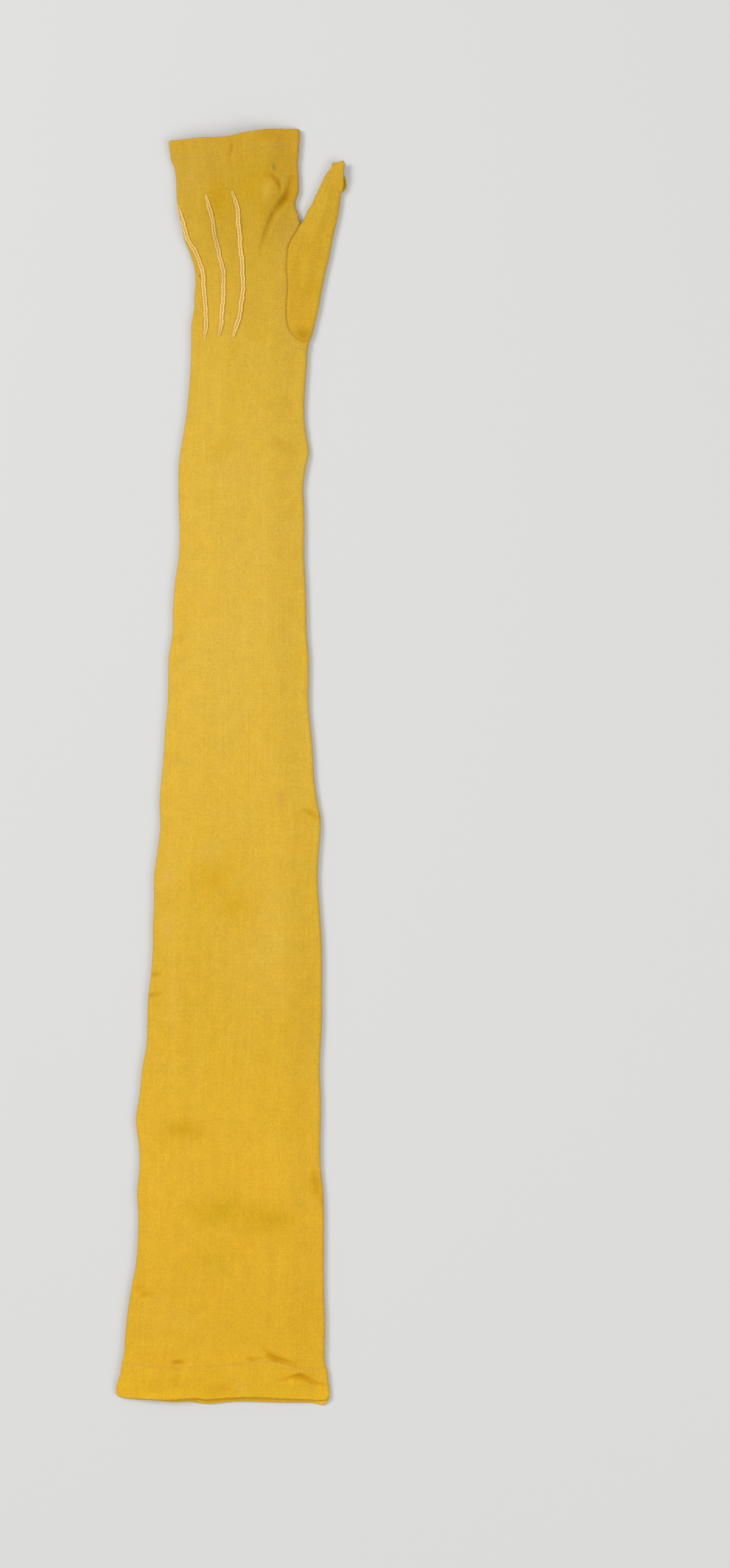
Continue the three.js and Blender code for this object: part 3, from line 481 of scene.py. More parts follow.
def leaning(x, station):
    """Where a row of the tube lies: rows near the hems lean with them."""
    station = np.broadcast_to(station, x.shape)
    hand = np.clip((station - HAND_START) / (HAND_STATION - HAND_START), 0, None)
    arm = np.clip((ARM_START - station) / (ARM_START - ARM_STATION), 0, None)
    return (
        station
        + smooth(np.clip(hand, 0, 1)) * (along(FINGER_STITCH, x) - HAND_STATION)
        + smooth(np.clip(arm, 0, 1)) * (along(ARM_STITCH, x) - ARM_STATION)
    )


def right_edge(y):
    return np.where(y <= 0, along(THUMB_EDGE, y), along(HAND_EDGE, y))


def grid_faces(ids):
    faces = np.stack([ids[:-1, :-1], ids[:-1, 1:], ids[1:, 1:], ids[1:, :-1]], axis=-1)
    return faces.reshape(-1, 4)


def tube_rows(back, palm, closed_start, closed_end):
    """Joins a back and a palm grid of places in plan into one surface: points, faces, and the
    layer of each point. The back grid runs across from start to end, the palm grid back again.
    closed_start and closed_end say on which rows the layers meet at those sides."""
    rows, across = back.shape[:2]
    ids = np.arange(back.shape[0] * across).reshape(rows, across)
    palm_ids = ids.size + np.arange(palm.shape[0] * palm.shape[1]).reshape(palm.shape[:2])
    palm_ids[:, 0] = np.where(closed_end, ids[:, -1], palm_ids[:, 0])
    palm_ids[:, -1] = np.where(closed_start, ids[:, 0], palm_ids[:, -1])
    places = np.vstack([back.reshape(-1, 2), palm.reshape(-1, 2)])
    top, _ = heights(places[:ids.size])
    _, bottom = heights(places[ids.size:])
    top = top.reshape(rows, across)
    top[closed_start, 0] = FOLD_HEIGHT
    top[closed_end, -1] = FOLD_HEIGHT
    points = np.column_stack([places, np.concatenate([top.ravel(), bottom])])
    layer = np.concatenate([np.zeros(ids.size), np.ones(palm_ids.size)])
    faces = np.vstack([grid_faces(ids), grid_faces(palm_ids)])
    used, inverse = np.unique(faces, return_inverse=True)
    points, layer = points[used], layer[used]
    return points, facing_out(points, inverse.reshape(faces.shape), layer == 0), layer


def normals_of(points, faces):
    a, b, c, d = (points[faces[:, k]] for k in range(4))
    across = np.cross(c - a, d - b)
    normals = np.zeros_like(points)
    for k in range(4):
        np.add.at(normals, faces[:, k], across)
    return normals / np.maximum(np.linalg.norm(normals, axis=1, keepdims=True), 1e-12)


def border_of(faces):
    """Directed edges that only one face uses."""
    edges = np.vstack([np.column_stack([faces[:, k], faces[:, (k + 1) % 4]]) for k in range(4)])
    edges = edges[edges[:, 0] != edges[:, 1]]
    big = faces.max() + 1
    forward, backward = edges @ [big, 1], edges @ [1, big]
    return edges[~np.isin(forward, backward)]


def facing_out(points, faces, upward):
    """Turns the faces over if the ones chosen by upward don't face up."""
    normals = normals_of(points, faces)
    return faces if normals[upward, 2].mean() > 0 else faces[:, ::-1]


def shell(points, faces, thickness, *extra, rim=3):
    """Gives a surface a thickness on its inner side, with round rims along its borders."""
    normals = normals_of(points, faces)
    inner = points - normals * thickness
    count = len(points)
    border = border_of(faces)
    tangent = points[border[:, 1]] - points[border[:, 0]]
    outward = np.zeros_like(points)
    for k in (0, 1):
        np.add.at(outward, border[:, k], np.cross(tangent, normals[border[:, k]]))
    on_border = np.unique(border)
    slot = np.full(count, -1)
    slot[on_border] = np.arange(len(on_border))
    out = outward[on_border]
    out /= np.maximum(np.linalg.norm(out, axis=1, keepdims=True), 1e-12)
    rings, ids = [], [np.arange(count)]
    for i in range(1, rim):
        turn = math.pi * i / rim
        down = (1 - math.cos(turn)) / 2
        place = points[on_border] + (inner[on_border] - points[on_border]) * down
        rings.append(place + out * math.sin(turn) * thickness * 0.45)
        ring_ids = np.full(count, -1)
        ring_ids[on_border] = 2 * count + (i - 1) * len(on_border) + slot[on_border]
        ids.append(ring_ids)
    ids.append(np.arange(count) + count)
    sides = [faces, faces[:, ::-1] + count]
    for upper, lower in zip(ids[:-1], ids[1:]):
        sides.append(np.column_stack([
            upper[border[:, 1]], upper[border[:, 0]], lower[border[:, 0]], lower[border[:, 1]],
        ]))
    every = np.vstack([points, inner, *rings])
    more = [
        np.concatenate([value, value, *([value[on_border]] * (rim - 1))]) for value in extra
    ]
    return every, np.vstack(sides), *more


def linear(colour):
    """Screen colour, 0 to 255, as linear light."""
    c = np.asarray(colour, float) / 255
    return np.where(c <= 0.04045, c / 12.92, ((c + 0.055) / 1.055) ** 2.4)


def tint_of(places, layer, tones, patches):
    """The cloth's colour at places in plan, in the back layer, 0, or the palm layer, 1, with
    painted shade in its folds, creases and dents and painted light beside some of them.
    """
    back = (layer == 0)[:, None]
    colour = np.column_stack([along(tones, places[:, 1], k) for k in (1, 2, 3)])
    for here, own in ((back, patches), (~back, PALM_PATCHES)):
        for x, y, across, up, red, green, blue, strength in own:
            reach = ((places[:, 0] - x) / across) ** 2 + ((places[:, 1] - y) / up) ** 2
            share = (strength * np.exp(-reach))[:, None] * here
            colour += (np.array([red, green, blue]) - colour) * share
    # Painted highlight: a paler rim along each folded edge
    for line, strength in zip(FOLD_LINES, EDGE_HIGHLIGHT_SHARE):
        rim = strength * np.exp(-(beside(places, line)[0] / 0.8) ** 2)[:, None]
        colour += (np.array(EDGE_HIGHLIGHT) - colour) * rim
    # Painted shade: each fold darkens the back layer's colour along its crease
    shade = back * folded(places, SHADE)[:, None] * np.array(FOLD_DARK)
    return linear(colour) * (1 - np.clip(shade, 0, 0.95))


def worn(places):
    """What is left of a thread's colour at places in plan."""
    left = np.ones((len(places), 3))
    for x, y, across, up, red, green, blue in WORN:
        reach = ((places[:, 0] - x) / across) ** 2 + ((places[:, 1] - y) / up) ** 2
        left *= 1 - (1 - np.array([red, green, blue])) * np.exp(-reach)[:, None]
    return left


def middle_of(y):
    return (along(LITTLE_EDGE, y) + right_edge(np.clip(y, None, 0))) / 2


def build(name, points, faces, material, cloth, tint):
    """Makes a Blender object from points in millimetres on the plan and faces of any sizes.
    cloth and tint are its materials' places in the cloth or thread, and its colour with any
    painted shade and light."""
    mesh = bpy.data.meshes.new(name)
    points = np.column_stack([points[:, :2], np.maximum(points[:, 2], CLEAR)])
    groups = faces if isinstance(faces, list) else [faces]
    faces = [face for group in groups for face in group.tolist()]
    mesh.from_pydata((points + SHIFT) * MM, [], faces, shade_flat=False)
    values = mesh.attributes.new("cloth", "FLOAT_VECTOR", "POINT")
    values.data.foreach_set("vector", cloth.astype(np.float32).ravel())
    values = mesh.attributes.new("tint", "FLOAT_COLOR", "POINT")
    colour = np.column_stack([tint, np.ones(len(tint))])
    values.data.foreach_set("color", colour.astype(np.float32).ravel())
    mesh.validate()
    mesh.materials.append(material)
    piece = bpy.data.objects.new(name, mesh)
    bpy.context.scene.collection.objects.link(piece)
    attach(piece, "root")
    return piece


# Materials

def material_base(name):
    material = bpy.data.materials.new(name)
    material.use_nodes = True
    tree = material.node_tree
    return material, tree, tree.nodes["Principled BSDF"]


def feed(tree, node, values):
    """Gives inputs of a node their values: an output is linked, and a constant is set."""
    for key, value in values.items():
        if isinstance(value, bpy.types.NodeSocket):
            tree.links.new(value, node.inputs[key])
        else:
            node.inputs[key].default_value = value


def made(tree, kind, values, output=0, **settings):
    """The output of a new shader node."""
    node = tree.nodes.new("ShaderNode" + kind)
    for key, value in settings.items():
        setattr(node, key, value)
    feed(tree, node, values)
    return node.outputs[output]


def calculated(tree, operation, *values):
    return made(tree, "Math", dict(enumerate(values)), operation=operation)


def noise(tree, vector, scale, detail=3.0, rough=0.55):
    place = made(tree, "VectorMath", {0: vector, 1: scale}, operation="MULTIPLY")
    values = {"Vector": place, "Scale": 1.0, "Detail": detail, "Roughness": rough}
    return made(tree, "TexNoise", values, "Fac")


def spread(tree, value, low, high):
    """Maps noise, which stays near a half, to low at its dips and high at its rises."""
    values = {"Value": value, "From Min": 0.25, "From Max": 0.75, "To Min": low, "To Max": high}
    return made(tree, "MapRange", values, "Result")


def mixed(tree, share, a, b, blend="MIX"):
    a, b = ((*colour, 1.0) if isinstance(colour, tuple) else colour for colour in (a, b))
    return made(tree, "Mix", {0: share, 6: a, 7: b}, 2, data_type="RGBA", blend_type=blend)


def attribute(tree, name, output):
    return made(tree, "Attribute", {}, output, attribute_name=name)


def cloth_places(tree):
    """The cloth attribute, as a vector and as its first two numbers."""
    cloth = attribute(tree, "cloth", "Vector")
    split = tree.nodes.new("ShaderNodeSeparateXYZ")
    tree.links.new(cloth, split.inputs[0])
    return cloth, split.outputs[0], split.outputs[1]


WALE = 1.05  # width of one column of loops, millimetres
COURSE = 0.82  # height of one row of loops


def knit_material(name, wale_depth, course_depth, bend):
    """Fine knitted silk: columns and rows of loops, slubs, streaks, uneven dye, soft sheen."""
    material, tree, shader = material_base(name)
    cloth, x, y = cloth_places(tree)

    def uneven(scale, low, high, detail=3.0, rough=0.55):
        return spread(tree, noise(tree, cloth, scale, detail, rough), low, high)

    def times(a, b):
        return calculated(tree, "MULTIPLY", a, b)

    def times_plus(a, b, c):
        return calculated(tree, "MULTIPLY_ADD", a, b, c)

    sway = uneven((0.06, 0.05, 1), -2.6, 2.6, 4.0, 0.62)
    drift = uneven((0.13, 0.09, 2), -2.4, 2.4, 4.0, 0.62)
    across = times_plus(x, math.tau / WALE, sway)
    up = times_plus(y, math.tau / COURSE, drift)
    lean = times_plus(calculated(tree, "COSINE", across), bend, up)
    wale_fade = uneven((0.2, 0.05, 4), 0.1, 1.0)
    course_fade = uneven((0.07, 0.22, 6), 0.25, 1.0)
    wale = times(calculated(tree, "SINE", across), wale_fade)
    course = times(calculated(tree, "SINE", lean), course_fade)
    slub = uneven((2.0, 1.4, 1), -1.2, 1.2, 2.0)
    height = times(wale, wale_depth)
    height = times_plus(course, course_depth, height)
    height = times_plus(slub, 1.0, height)
    bump = made(tree, "Bump", {"Strength": 0.55, "Distance": 0.00007, "Height": height})

    base = attribute(tree, "tint", "Color")
    patchy = uneven((0.07, 0.05, 1), 0.0, 1.0, 6.0, 0.72)
    warm = mixed(tree, 1.0, base, (1.01, 0.965, 0.76), "MULTIPLY")
    dusty = mixed(tree, 1.0, base, (0.99, 1.012, 1.2), "MULTIPLY")
    colour = mixed(tree, patchy, warm, dusty)
    cloud = uneven((0.15, 0.13, 9), 0.93, 1.07, 5.0, 0.68)
    streak = uneven((0.75, 0.016, 1), 0.965, 1.035, 2.0)
    band = uneven((0.01, 0.9, 1), 0.985, 1.015, 2.0)
    grain = uneven((0.85, 1.6, 1), 0.84, 1.16, 3.0, 0.72)
    tufts = uneven((0.5, 0.55, 5), 0.95, 1.05, 2.0, 0.6)
    # Painted shade of the knit: the colour is darker in the hollows between the loops
    loops = times_plus(wale, 0.06 * wale_depth, 1.0)
    loops = times_plus(course, 0.06 * course_depth, loops)
    shade = times(streak, band)
    for part in (cloud, grain, tufts, loops, EXPOSURE):
        shade = times(shade, part)
    grey = made(tree, "CombineXYZ", {0: shade, 1: shade, 2: shade})
    feed(tree, shader, {
        "Base Color": mixed(tree, 1.0, colour, grey, "MULTIPLY"),
        "Normal": bump,
        "Roughness": uneven((0.4, 0.1, 1), 0.52, 0.66, 2.0),
        "Sheen Weight": 0.2,
        "Sheen Roughness": 0.4,
        "Sheen Tint": (1.0, 0.72, 0.25, 1.0),
        "Specular IOR Level": 0.3,
        "Specular Tint": (1.0, 0.76, 0.3, 1.0),
    })
    return material


def thread_material(name, light, dark, twist):
    """Silk thread of twisted strands: the twist shows as slanting lines round the thread."""
    material, tree, shader = material_base(name)
    cloth, around, run = cloth_places(tree)
    turn = calculated(tree, "MULTIPLY_ADD", run, twist, around)
    strand = calculated(tree, "SINE", turn)
    fleck = noise(tree, cloth, (0.7, 1.6, 1), 2.0, 0.6)
    share = calculated(tree, "MULTIPLY_ADD", strand, 0.22, spread(tree, fleck, 0.2, 0.9))
    colour = mixed(tree, share, tuple(linear(dark)), tuple(linear(light)))
    feed(tree, shader, {
        "Base Color": mixed(tree, 1.0, colour, attribute(tree, "tint", "Color"), "MULTIPLY"),
        "Normal": made(tree, "Bump", {"Strength": 0.5, "Distance": 0.00008, "Height": strand}),
        "Roughness": spread(tree, fleck, 0.45, 0.6),
        "Sheen Weight": 0.2,
        "Sheen Tint": (1.0, 0.93, 0.75, 1.0),
    })
    return material


EXPOSURE = 0.772  # dims the colours of the cloth to suit the lights
SILK = knit_material("silk_knit", 0.6, 0.6, 0.8)
HEM_SILK = knit_material("silk_hem", 1.0, 0.5, 0.8)
THUMB_SILK = knit_material("silk_thumb", 0.12, 1.3, 0.3)
POINT_THREAD = thread_material("point_thread", (228, 195, 106), (204, 163, 72), 7.0)
CORE_THREAD = thread_material("core_thread", (196, 157, 74), (154, 116, 44), 3.0)
SEWING_THREAD = thread_material("sewing_thread", (230, 188, 96), (208, 164, 68), 12.0)


# The knitted tube

LAYER_STEP = 300  # keeps the palm layer's knitting away from the back layer's


def knit_places(points, layer):
    """Place of each point in the knitting: across and along the cloth, and which layer."""
    across = points[:, 0] - middle_of(points[:, 1]) + LAYER_STEP * layer
    return np.column_stack([across, points[:, 1], 7.0 * layer])


def dressed(name, points, faces, layer, thickness, material, lift=0, rim=3):
    """One piece of the hand's cloth: a surface, lifted and given a thickness and its colours."""
    cloth = knit_places(points, layer)
    tint = tint_of(points[:, :2], layer, CLOTH_TONES, PATCHES)
    away = points + normals_of(points, faces) * lift
    away, faces, cloth, tint = shell(away, faces, thickness, cloth, tint, rim=rim)
    return build(name, away, faces, material, cloth, tint)


def tube_grid(stations, middle, sides, row_line, passes=1):
    """Places in plan of one layer of the tube: rows near the stations, and columns from side to
    side. row_line says where the rows lie at each x, and each pass fits the columns to them."""
    start, end = sides(stations)
    x = columns(start, end, middle)
    share = (x - start[:, None]) / (end - start)[:, None]
    for _ in range(passes):
        y = row_line(x)
        new_start, new_end = sides(y)
        x = new_start + (new_end - new_start) * share
    return np.stack([x, y], axis=-1)


BAND_LOW, BAND_HIGH = -4.1, 72.8  # reach of the seam allowance along the hand's edge


def x_at(line, y):
    return np.interp(y, np.maximum.accumulate(line[:, 1]), line[:, 0])


def opening_edge(side, y):
    """The tube's thumb side: its fold, or the line where the seam allowance begins."""
    seam, band = SEAMS[side], BANDS[side]
    cut = band + 0.03 * (even(seam, np.linspace(0, length_of(seam), len(band))) - band)
    edge = np.where(y <= BAND_LOW, along(THUMB_EDGE, y), along(HAND_EDGE, y))
    inside = (y > BAND_LOW) & (y < BAND_HIGH)
    return np.where(inside, x_at(cut, y), edge)


def make_body():
    """The hand and arm. Its rows are closer together where folds cross it."""
    stations = np.concatenate([
        np.arange(ARM_STATION, -560, 1.0),
        np.arange(-560, -374, 3.1),
        np.arange(-374, -354, 1.0),
        np.arange(-354, -272, 3.1),
        np.arange(-272, -262, 1.2),
        np.arange(-262, -12, 3.1),
        np.arange(-12, BAND_LOW - 0.5, 1.3),
        [BAND_LOW, -4.0, -3.8, -3.5, -3.1, -2.5, -1.7, -0.8, 0.3, 1.5, 2.7],
        np.arange(3.8, BAND_HIGH - 0.6, 0.95),
        [BAND_HIGH],
        np.linspace(BAND_HIGH + 1.1, HAND_STATION, 28),
    ])

    def row_line(x):
        return leaning(x, stations[:, None])

    back = tube_grid(
        stations, 72, lambda y: (opening_edge("back", y), along(LITTLE_EDGE, y)), row_line
    )
    palm = tube_grid(
        stations, 26, lambda y: (along(LITTLE_EDGE, y), opening_edge("palm", y)), row_line
    )
    closed = (stations <= BAND_LOW) | (stations >= BAND_HIGH)
    surface = tube_rows(back, palm, closed, np.ones(len(stations), bool))
    return dressed("hand_and_arm_cloth", *surface, CLOTH, SILK)


def make_thumb():
    """The thumb's tube, from its seam to its open tip. Returns it and the line of its mouth."""
    stations = np.concatenate([
        [0.02, 0.12, 0.35, 0.8, 1.4, 2.1, 3.0],
        np.arange(4.0, 66.0, 1.1),
        [SEAM_LENGTH],
        np.linspace(SEAM_LENGTH + 1, MOUTH_START, 16),
        np.linspace(MOUTH_START + 1, THUMB_TOP, 16),
    ])
    inner = {
        side: np.where(
            stations < SEAM_LENGTH, x_at(seam, stations) + 0.1, along(THUMB_INNER, stations)
        )
        for side, seam in SEAMS.items()
    }
    outer = along(THUMB_OUTER, stations)
    lap = np.where(stations > MOUTH_START, along(THUMB_LAP, stations), 0)
    tip = smooth((stations - TIP_START) / TIP_REACH)[:, None]

    def lie(x):
        """The tip slants up to its outer corner, and its edge is a little wavy."""
        share = (x - x[:, :1]) / (x[:, -1:] - x[:, :1])
        share = share if x[0, 0] < x[0, -1] else 1 - share
        y = stations[:, None] + tip * (1.15 * (share ** 2 - 1) + 0.16 * np.sin(9 * share))
        return np.stack([x, y], axis=-1)

    back = lie(columns(np.minimum(inner["back"], outer - 0.25), outer, 14))
    palm = lie(columns(outer + lap, np.minimum(inner["palm"], outer - 0.25), 14))
    points, faces, layer = tube_rows(
        back, palm, stations >= SEAM_LENGTH, stations <= MOUTH_START
    )
    x, y, _ = points.T  # the thumb is knitted on a slant
    cloth = np.column_stack([x - 0.2 * y + LAYER_STEP * layer, 0.75 * y, layer])
    tint = tint_of(points[:, :2], layer, THUMB_TONES, THUMB_PATCHES)
    normals = normals_of(points, faces)
    follow = {a: b for a, b in border_of(faces)}
    start = max(follow, key=lambda i: points[i, 1])
    mouth = [start]
    while follow[mouth[-1]] != start:
        mouth.append(follow[mouth[-1]])
    mouth_line = points[mouth] - normals[mouth] * CLOTH / 2
    points, faces, cloth, tint = shell(points, faces, CLOTH, cloth, tint)
    thumb = build("thumb_cloth", points, faces, THUMB_SILK, cloth, tint)
    return thumb, mouth_line


def make_band():
    """The seam allowance sewn down round the thumb, as a closed strip over back and palm."""
    rows = np.array([0, 0.05, 0.14, 0.26, 0.4, 0.55, 0.7, 0.84, 0.93, 1.0])

    def strip(side):
        seam, band = SEAMS[side], BANDS[side]
        ends = INSETS[1:-1]
        both = []
        for line in (seam, band):
            total = length_of(line)
            places = np.concatenate([[0], ends, np.linspace(ends[-1], total - ends[-1], 72)[1:-1],
                                     total - ends[::-1], [total]])
            both.append(even(line, places))
        return both[0][:, None] + (both[1] - both[0])[:, None] * rows[None, :, None]

    back, palm = strip("back"), strip("palm")[::-1]
    for grid in (back, palm):
        for end in (0, -1):
            grid[end, :, 0] = right_edge(grid[end, :, 1])
    count, across = back.shape[:2]
    places = np.vstack([back.reshape(-1, 2), palm[1:-1].reshape(-1, 2)])
    top, bottom = heights(places)
    z = np.concatenate([top[:count * across], bottom[count * across:]])
    z[:across] = FOLD_HEIGHT
    z[(count - 1) * across:count * across] = FOLD_HEIGHT
    points = np.column_stack([places, z])
    ids = np.arange(len(points)).reshape(-1, across)
    faces = grid_faces(np.vstack([ids, ids[:1]]))
    layer = np.concatenate([np.zeros(count * across), np.ones(len(points) - count * across)])
    faces = facing_out(points, faces, layer == 0)
    swell = np.tile(0.35 + 0.65 * np.sin(np.pi * rows) ** 0.5, len(ids))
    lift = (BAND_RISE * swell)[:, None]
    return dressed("thumb_seam_band", points, faces, layer, CLOTH + BAND_RISE / 2, SILK, lift)


HEM_ROWS = np.concatenate([[0, 0.03], np.linspace(0.07, 0.93, 22), [0.97, 1.0]])


def hem_ring(node, low_line, high_back, high_palm, middle_row):
    """A turned hem round one end of the tube, from its stitch line to its folded edge."""
    stations = np.full(len(HEM_ROWS), float(middle_row))

    def between(high):
        def row_line(x):
            low = along(low_line, x)
            return low + (along(high, x) - low) * HEM_ROWS[:, None]
        return row_line

    back = tube_grid(
        stations, 100, lambda y: (right_edge(y), along(LITTLE_EDGE, y)), between(high_back), 2
    )
    palm = tube_grid(
        stations, 36, lambda y: (along(LITTLE_EDGE, y), right_edge(y)), between(high_palm), 2
    )
    always = np.ones(len(HEM_ROWS), bool)
    surface = tube_rows(back, palm, always, always)
    piece = dressed(node + "_cloth", *surface, HEM_CLOTH, HEM_SILK, lift=0.1, rim=5)
    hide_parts(node)
    return piece


# Threads

def tubes(paths, radii, sides, closed, flat=1.0):
    """Round tubes along paths of points, as one set of points and faces. flat makes them
    lower than wide. Open ones get a small face at each end."""
    count, steps = paths.shape[:2]
    radii = np.broadcast_to(radii, (count, steps))
    if closed:
        ahead = np.roll(paths, -1, axis=1) - np.roll(paths, 1, axis=1)
    else:
        ahead = np.gradient(paths, axis=1)
    ahead /= np.maximum(np.linalg.norm(ahead, axis=2, keepdims=True), 1e-12)
    side = np.cross(ahead, [0.0, 0.0, 1.0])
    side /= np.maximum(np.linalg.norm(side, axis=2, keepdims=True), 1e-12)
    up = np.cross(side, ahead)
    turns = np.arange(sides) * math.tau / sides
    ring = (
        side[:, :, None] * np.cos(turns)[:, None]
        + up[:, :, None] * (flat * np.sin(turns))[:, None]
    )
    points = paths[:, :, None] + ring * radii[:, :, None, None]
    ids = np.arange(count * steps * sides).reshape(count, steps, sides)
    after = np.roll(ids, -1, axis=2)
    quads = np.stack([
        ids, after, np.roll(after, -1, axis=1), np.roll(ids, -1, axis=1)
    ], axis=-1)
    if closed:
        faces = [quads.reshape(-1, 4)]
    else:
        faces = [quads[:, :-1].reshape(-1, 4), ids[:, 0, ::-1], ids[:, -1]]
    # Places in the thread: round it, along it, and a number for each tube
    run, own = np.arange(steps)[None, :, None] * 0.4, np.arange(count)[:, None, None] * 3.1
    cloth = np.stack(np.broadcast_arrays(turns, run, own), axis=-1).reshape(-1, 3)
    return points.reshape(-1, 3), faces, cloth


def join(parts):
    points, groups, cloth, start = [], {}, [], 0
    for part_points, part_faces, part_cloth in parts:
        for group in part_faces:
            groups.setdefault(group.shape[1], []).append(group + start)
        points.append(part_points)
        cloth.append(part_cloth)
        start += len(part_points)
    return np.vstack(points), [np.vstack(group) for group in groups.values()], np.vstack(cloth)


def sewn(name, parts, material=SEWING_THREAD, left=1):
    """One piece of thread from points, faces and places in the thread. left is what dirt has
    left of its colour."""
    points, faces, cloth = parts
    return build(name, points, faces, material, cloth, worn(points) * left)


def beads(line, pitch, length, radius, turn, side, lift, seed, sway=0.0):
    """Short stitches along a line in plan, each turned from the line by turn degrees, and set
    to either side of it by sway, turn about."""
    random = np.random.default_rng(seed)
    total = length_of(line)
    count = int(total / pitch)
    places = (np.arange(count) + 0.5) * pitch + random.uniform(-0.12, 0.12, count) * pitch
    at = even(line, places)
    ahead = even(line, places + 0.1) - even(line, places - 0.1)
    angle = np.arctan2(ahead[:, 1], ahead[:, 0])
    aside = sway * np.where(np.arange(count) % 2, 1, -1) + random.normal(0, 0.06, count)
    at = at + aside[:, None] * np.column_stack([-np.sin(angle), np.cos(angle)])
    angle += math.radians(turn)
    angle += random.normal(0, 0.12, count)
    long = length * random.uniform(0.82, 1.15, count)
    shares = np.array([-0.5, -0.36, -0.12, 0.12, 0.36, 0.5])
    step = (shares[None, :] * long[:, None])[..., None]
    plan = at[:, None] + step * np.stack([np.cos(angle), np.sin(angle)], axis=-1)[:, None]
    back, palm = heights(plan.reshape(-1, 2))
    sign = 1 if side == "back" else -1
    surface = (back if side == "back" else palm).reshape(count, -1)
    bow = np.array([-0.6, 0.1, 0.6, 0.6, 0.1, -0.6]) * radius
    z = surface + sign * (lift + bow)
    paths = np.concatenate([plan, z[..., None]], axis=-1)
    radii = radius * np.array([0.4, 0.85, 1, 1, 0.85, 0.4]) * random.uniform(
        0.85, 1.15, (count, 1))
    return tubes(paths, radii, 6, False)


def chain(name, line):
    """One point: chain stitch in thick silk over a low core, tapering at both ends. From above
    the stitches run together into two pale cords with a dotted groove between them."""
    random = np.random.default_rng(len(name))
    route = smooth_line(line)
    pitch, long, wide, radius = 1.6, 3.7, 1.7, 0.48
    total = length_of(route)
    count = round((total - long) / pitch) + 1
    starts = np.linspace(0, total - long, count) + random.uniform(-0.12, 0.12, count)
    turns = np.arange(20) * math.tau / 20
    reach = (1 - np.cos(turns)) / 2
    ends = smooth(np.minimum(starts + 0.8, total - long - starts + 0.8) / 7)
    taper = 0.55 + 0.45 * ends
    bulge = 1 + 0.07 * np.sin(starts * 0.55 + len(name)) + random.uniform(-0.08, 0.08, count)
    swing = np.sign(np.sin(turns)) * np.abs(np.sin(turns)) ** 0.6
    sideways = (wide / 2 * swing * (0.86 + 0.14 * reach))[None] * (taper * bulge)[:, None]

    def placed(run, aside=0):
        """Places in plan beside the route, which wanders a little, and the cloth's height."""
        aside = aside + 0.16 * np.sin(run * 0.42 + len(name)) + 0.1 * np.sin(run * 1.1)
        at = even(route, run.ravel())
        ahead = even(route, run.ravel() + 0.2) - even(route, run.ravel() - 0.2)
        ahead /= np.linalg.norm(ahead, axis=1, keepdims=True)
        plan = at + np.column_stack([ahead[:, 1], -ahead[:, 0]]) * aside.ravel()[:, None]
        return plan.reshape(*run.shape, 2), heights(plan)[0].reshape(run.shape)

    plan, back = placed(starts[:, None] + reach[None] * long, sideways)
    rise = 0.04 + 0.4 * np.sin(np.pi * reach) ** 0.6 + 0.04 * reach
    z = back + rise[None] * (0.6 + 0.4 * taper[:, None])
    paths = np.concatenate([plan, z[..., None]], axis=-1)
    thick = radius * (0.72 + 0.28 * taper) * random.uniform(0.88, 1.12, count)
    links = tubes(paths, thick[:, None], 6, True)
    piece = sewn(name + "_stitches", links, POINT_THREAD)
    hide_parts(name)
    core_run = np.linspace(1.2, starts[-1] + long - 1.2, int(total / 0.8))[None]
    core_plan, core_back = placed(core_run)
    share = np.minimum(core_run - 1.2, core_run[0, -1] - core_run) / 6
    core_radius = 0.95 * (0.3 + 0.7 * smooth(share))
    core = np.concatenate([core_plan, (core_back + 0.1)[..., None]], axis=-1)
    points, faces, cloth = tubes(core, core_radius, 10, False, flat=0.5)
    cloth[:, 1] *= 2
    sewn(name + "_core", (points, faces, cloth), CORE_THREAD)


def make_curls():
    """Small curls of thread that stand beside the points."""
    paths = []
    for x, y, turn, reach in CURLS:
        t = np.linspace(0, 1, 18)
        angle = math.radians(turn) + t * 7.6
        plan = np.column_stack([
            x + reach * 0.5 * np.cos(angle) * (1 - 0.5 * t) + 0.14 * np.sin(t * 11),
            y + reach * np.sin(angle) * (1 - 0.6 * t),
        ])
        z = heights(plan)[0] + 0.12 + 0.3 * np.sin(np.pi * t)
        paths.append(np.column_stack([plan, z]))
    sewn("thread_curls", tubes(np.array(paths), 0.24, 6, False), POINT_THREAD)


def between_lines(side, share):
    """A line between the thumb's seam, at 0, and the outer line of its allowance, at 1."""
    count = 160
    seam = even(SEAMS[side], np.linspace(0, length_of(SEAMS[side]), count))
    band = even(BANDS[side], np.linspace(0, length_of(BANDS[side]), count))
    return seam + (band - seam) * share


def make_seam_stitches():
    parts = []
    for side in ("back", "palm"):
        for share, lift, sway, seed in ((0.27, 0.3, 0.05, 11), (0.97, 0.18, 0.2, 12)):
            line = between_lines(side, share)
            trim = even(line, np.linspace(0.6, length_of(line) - 0.6, 200))
            parts.append(beads(trim, 1.12, 0.82, 0.25, 26, side, lift, seed, sway))
    sewn("thumb_seam_stitches", join(parts))


def hem_line(table, inset):
    x = np.linspace(table[1][0] + inset, table[-2][0] - inset, 160)
    return np.column_stack([x, along(table, x)])


def make_hem_stitches():
    parts = []
    for side, seed in (("back", 21), ("palm", 22)):
        parts.append(beads(hem_line(FINGER_STITCH, 0.6), 1.35, 1.05, 0.18, 78, side, 0.1, seed))
        parts.append(beads(hem_line(ARM_STITCH, 0.6), 1.4, 1.35, 0.19, 82, side, 0.1, seed + 2))
    sewn("hem_stitches", join(parts))


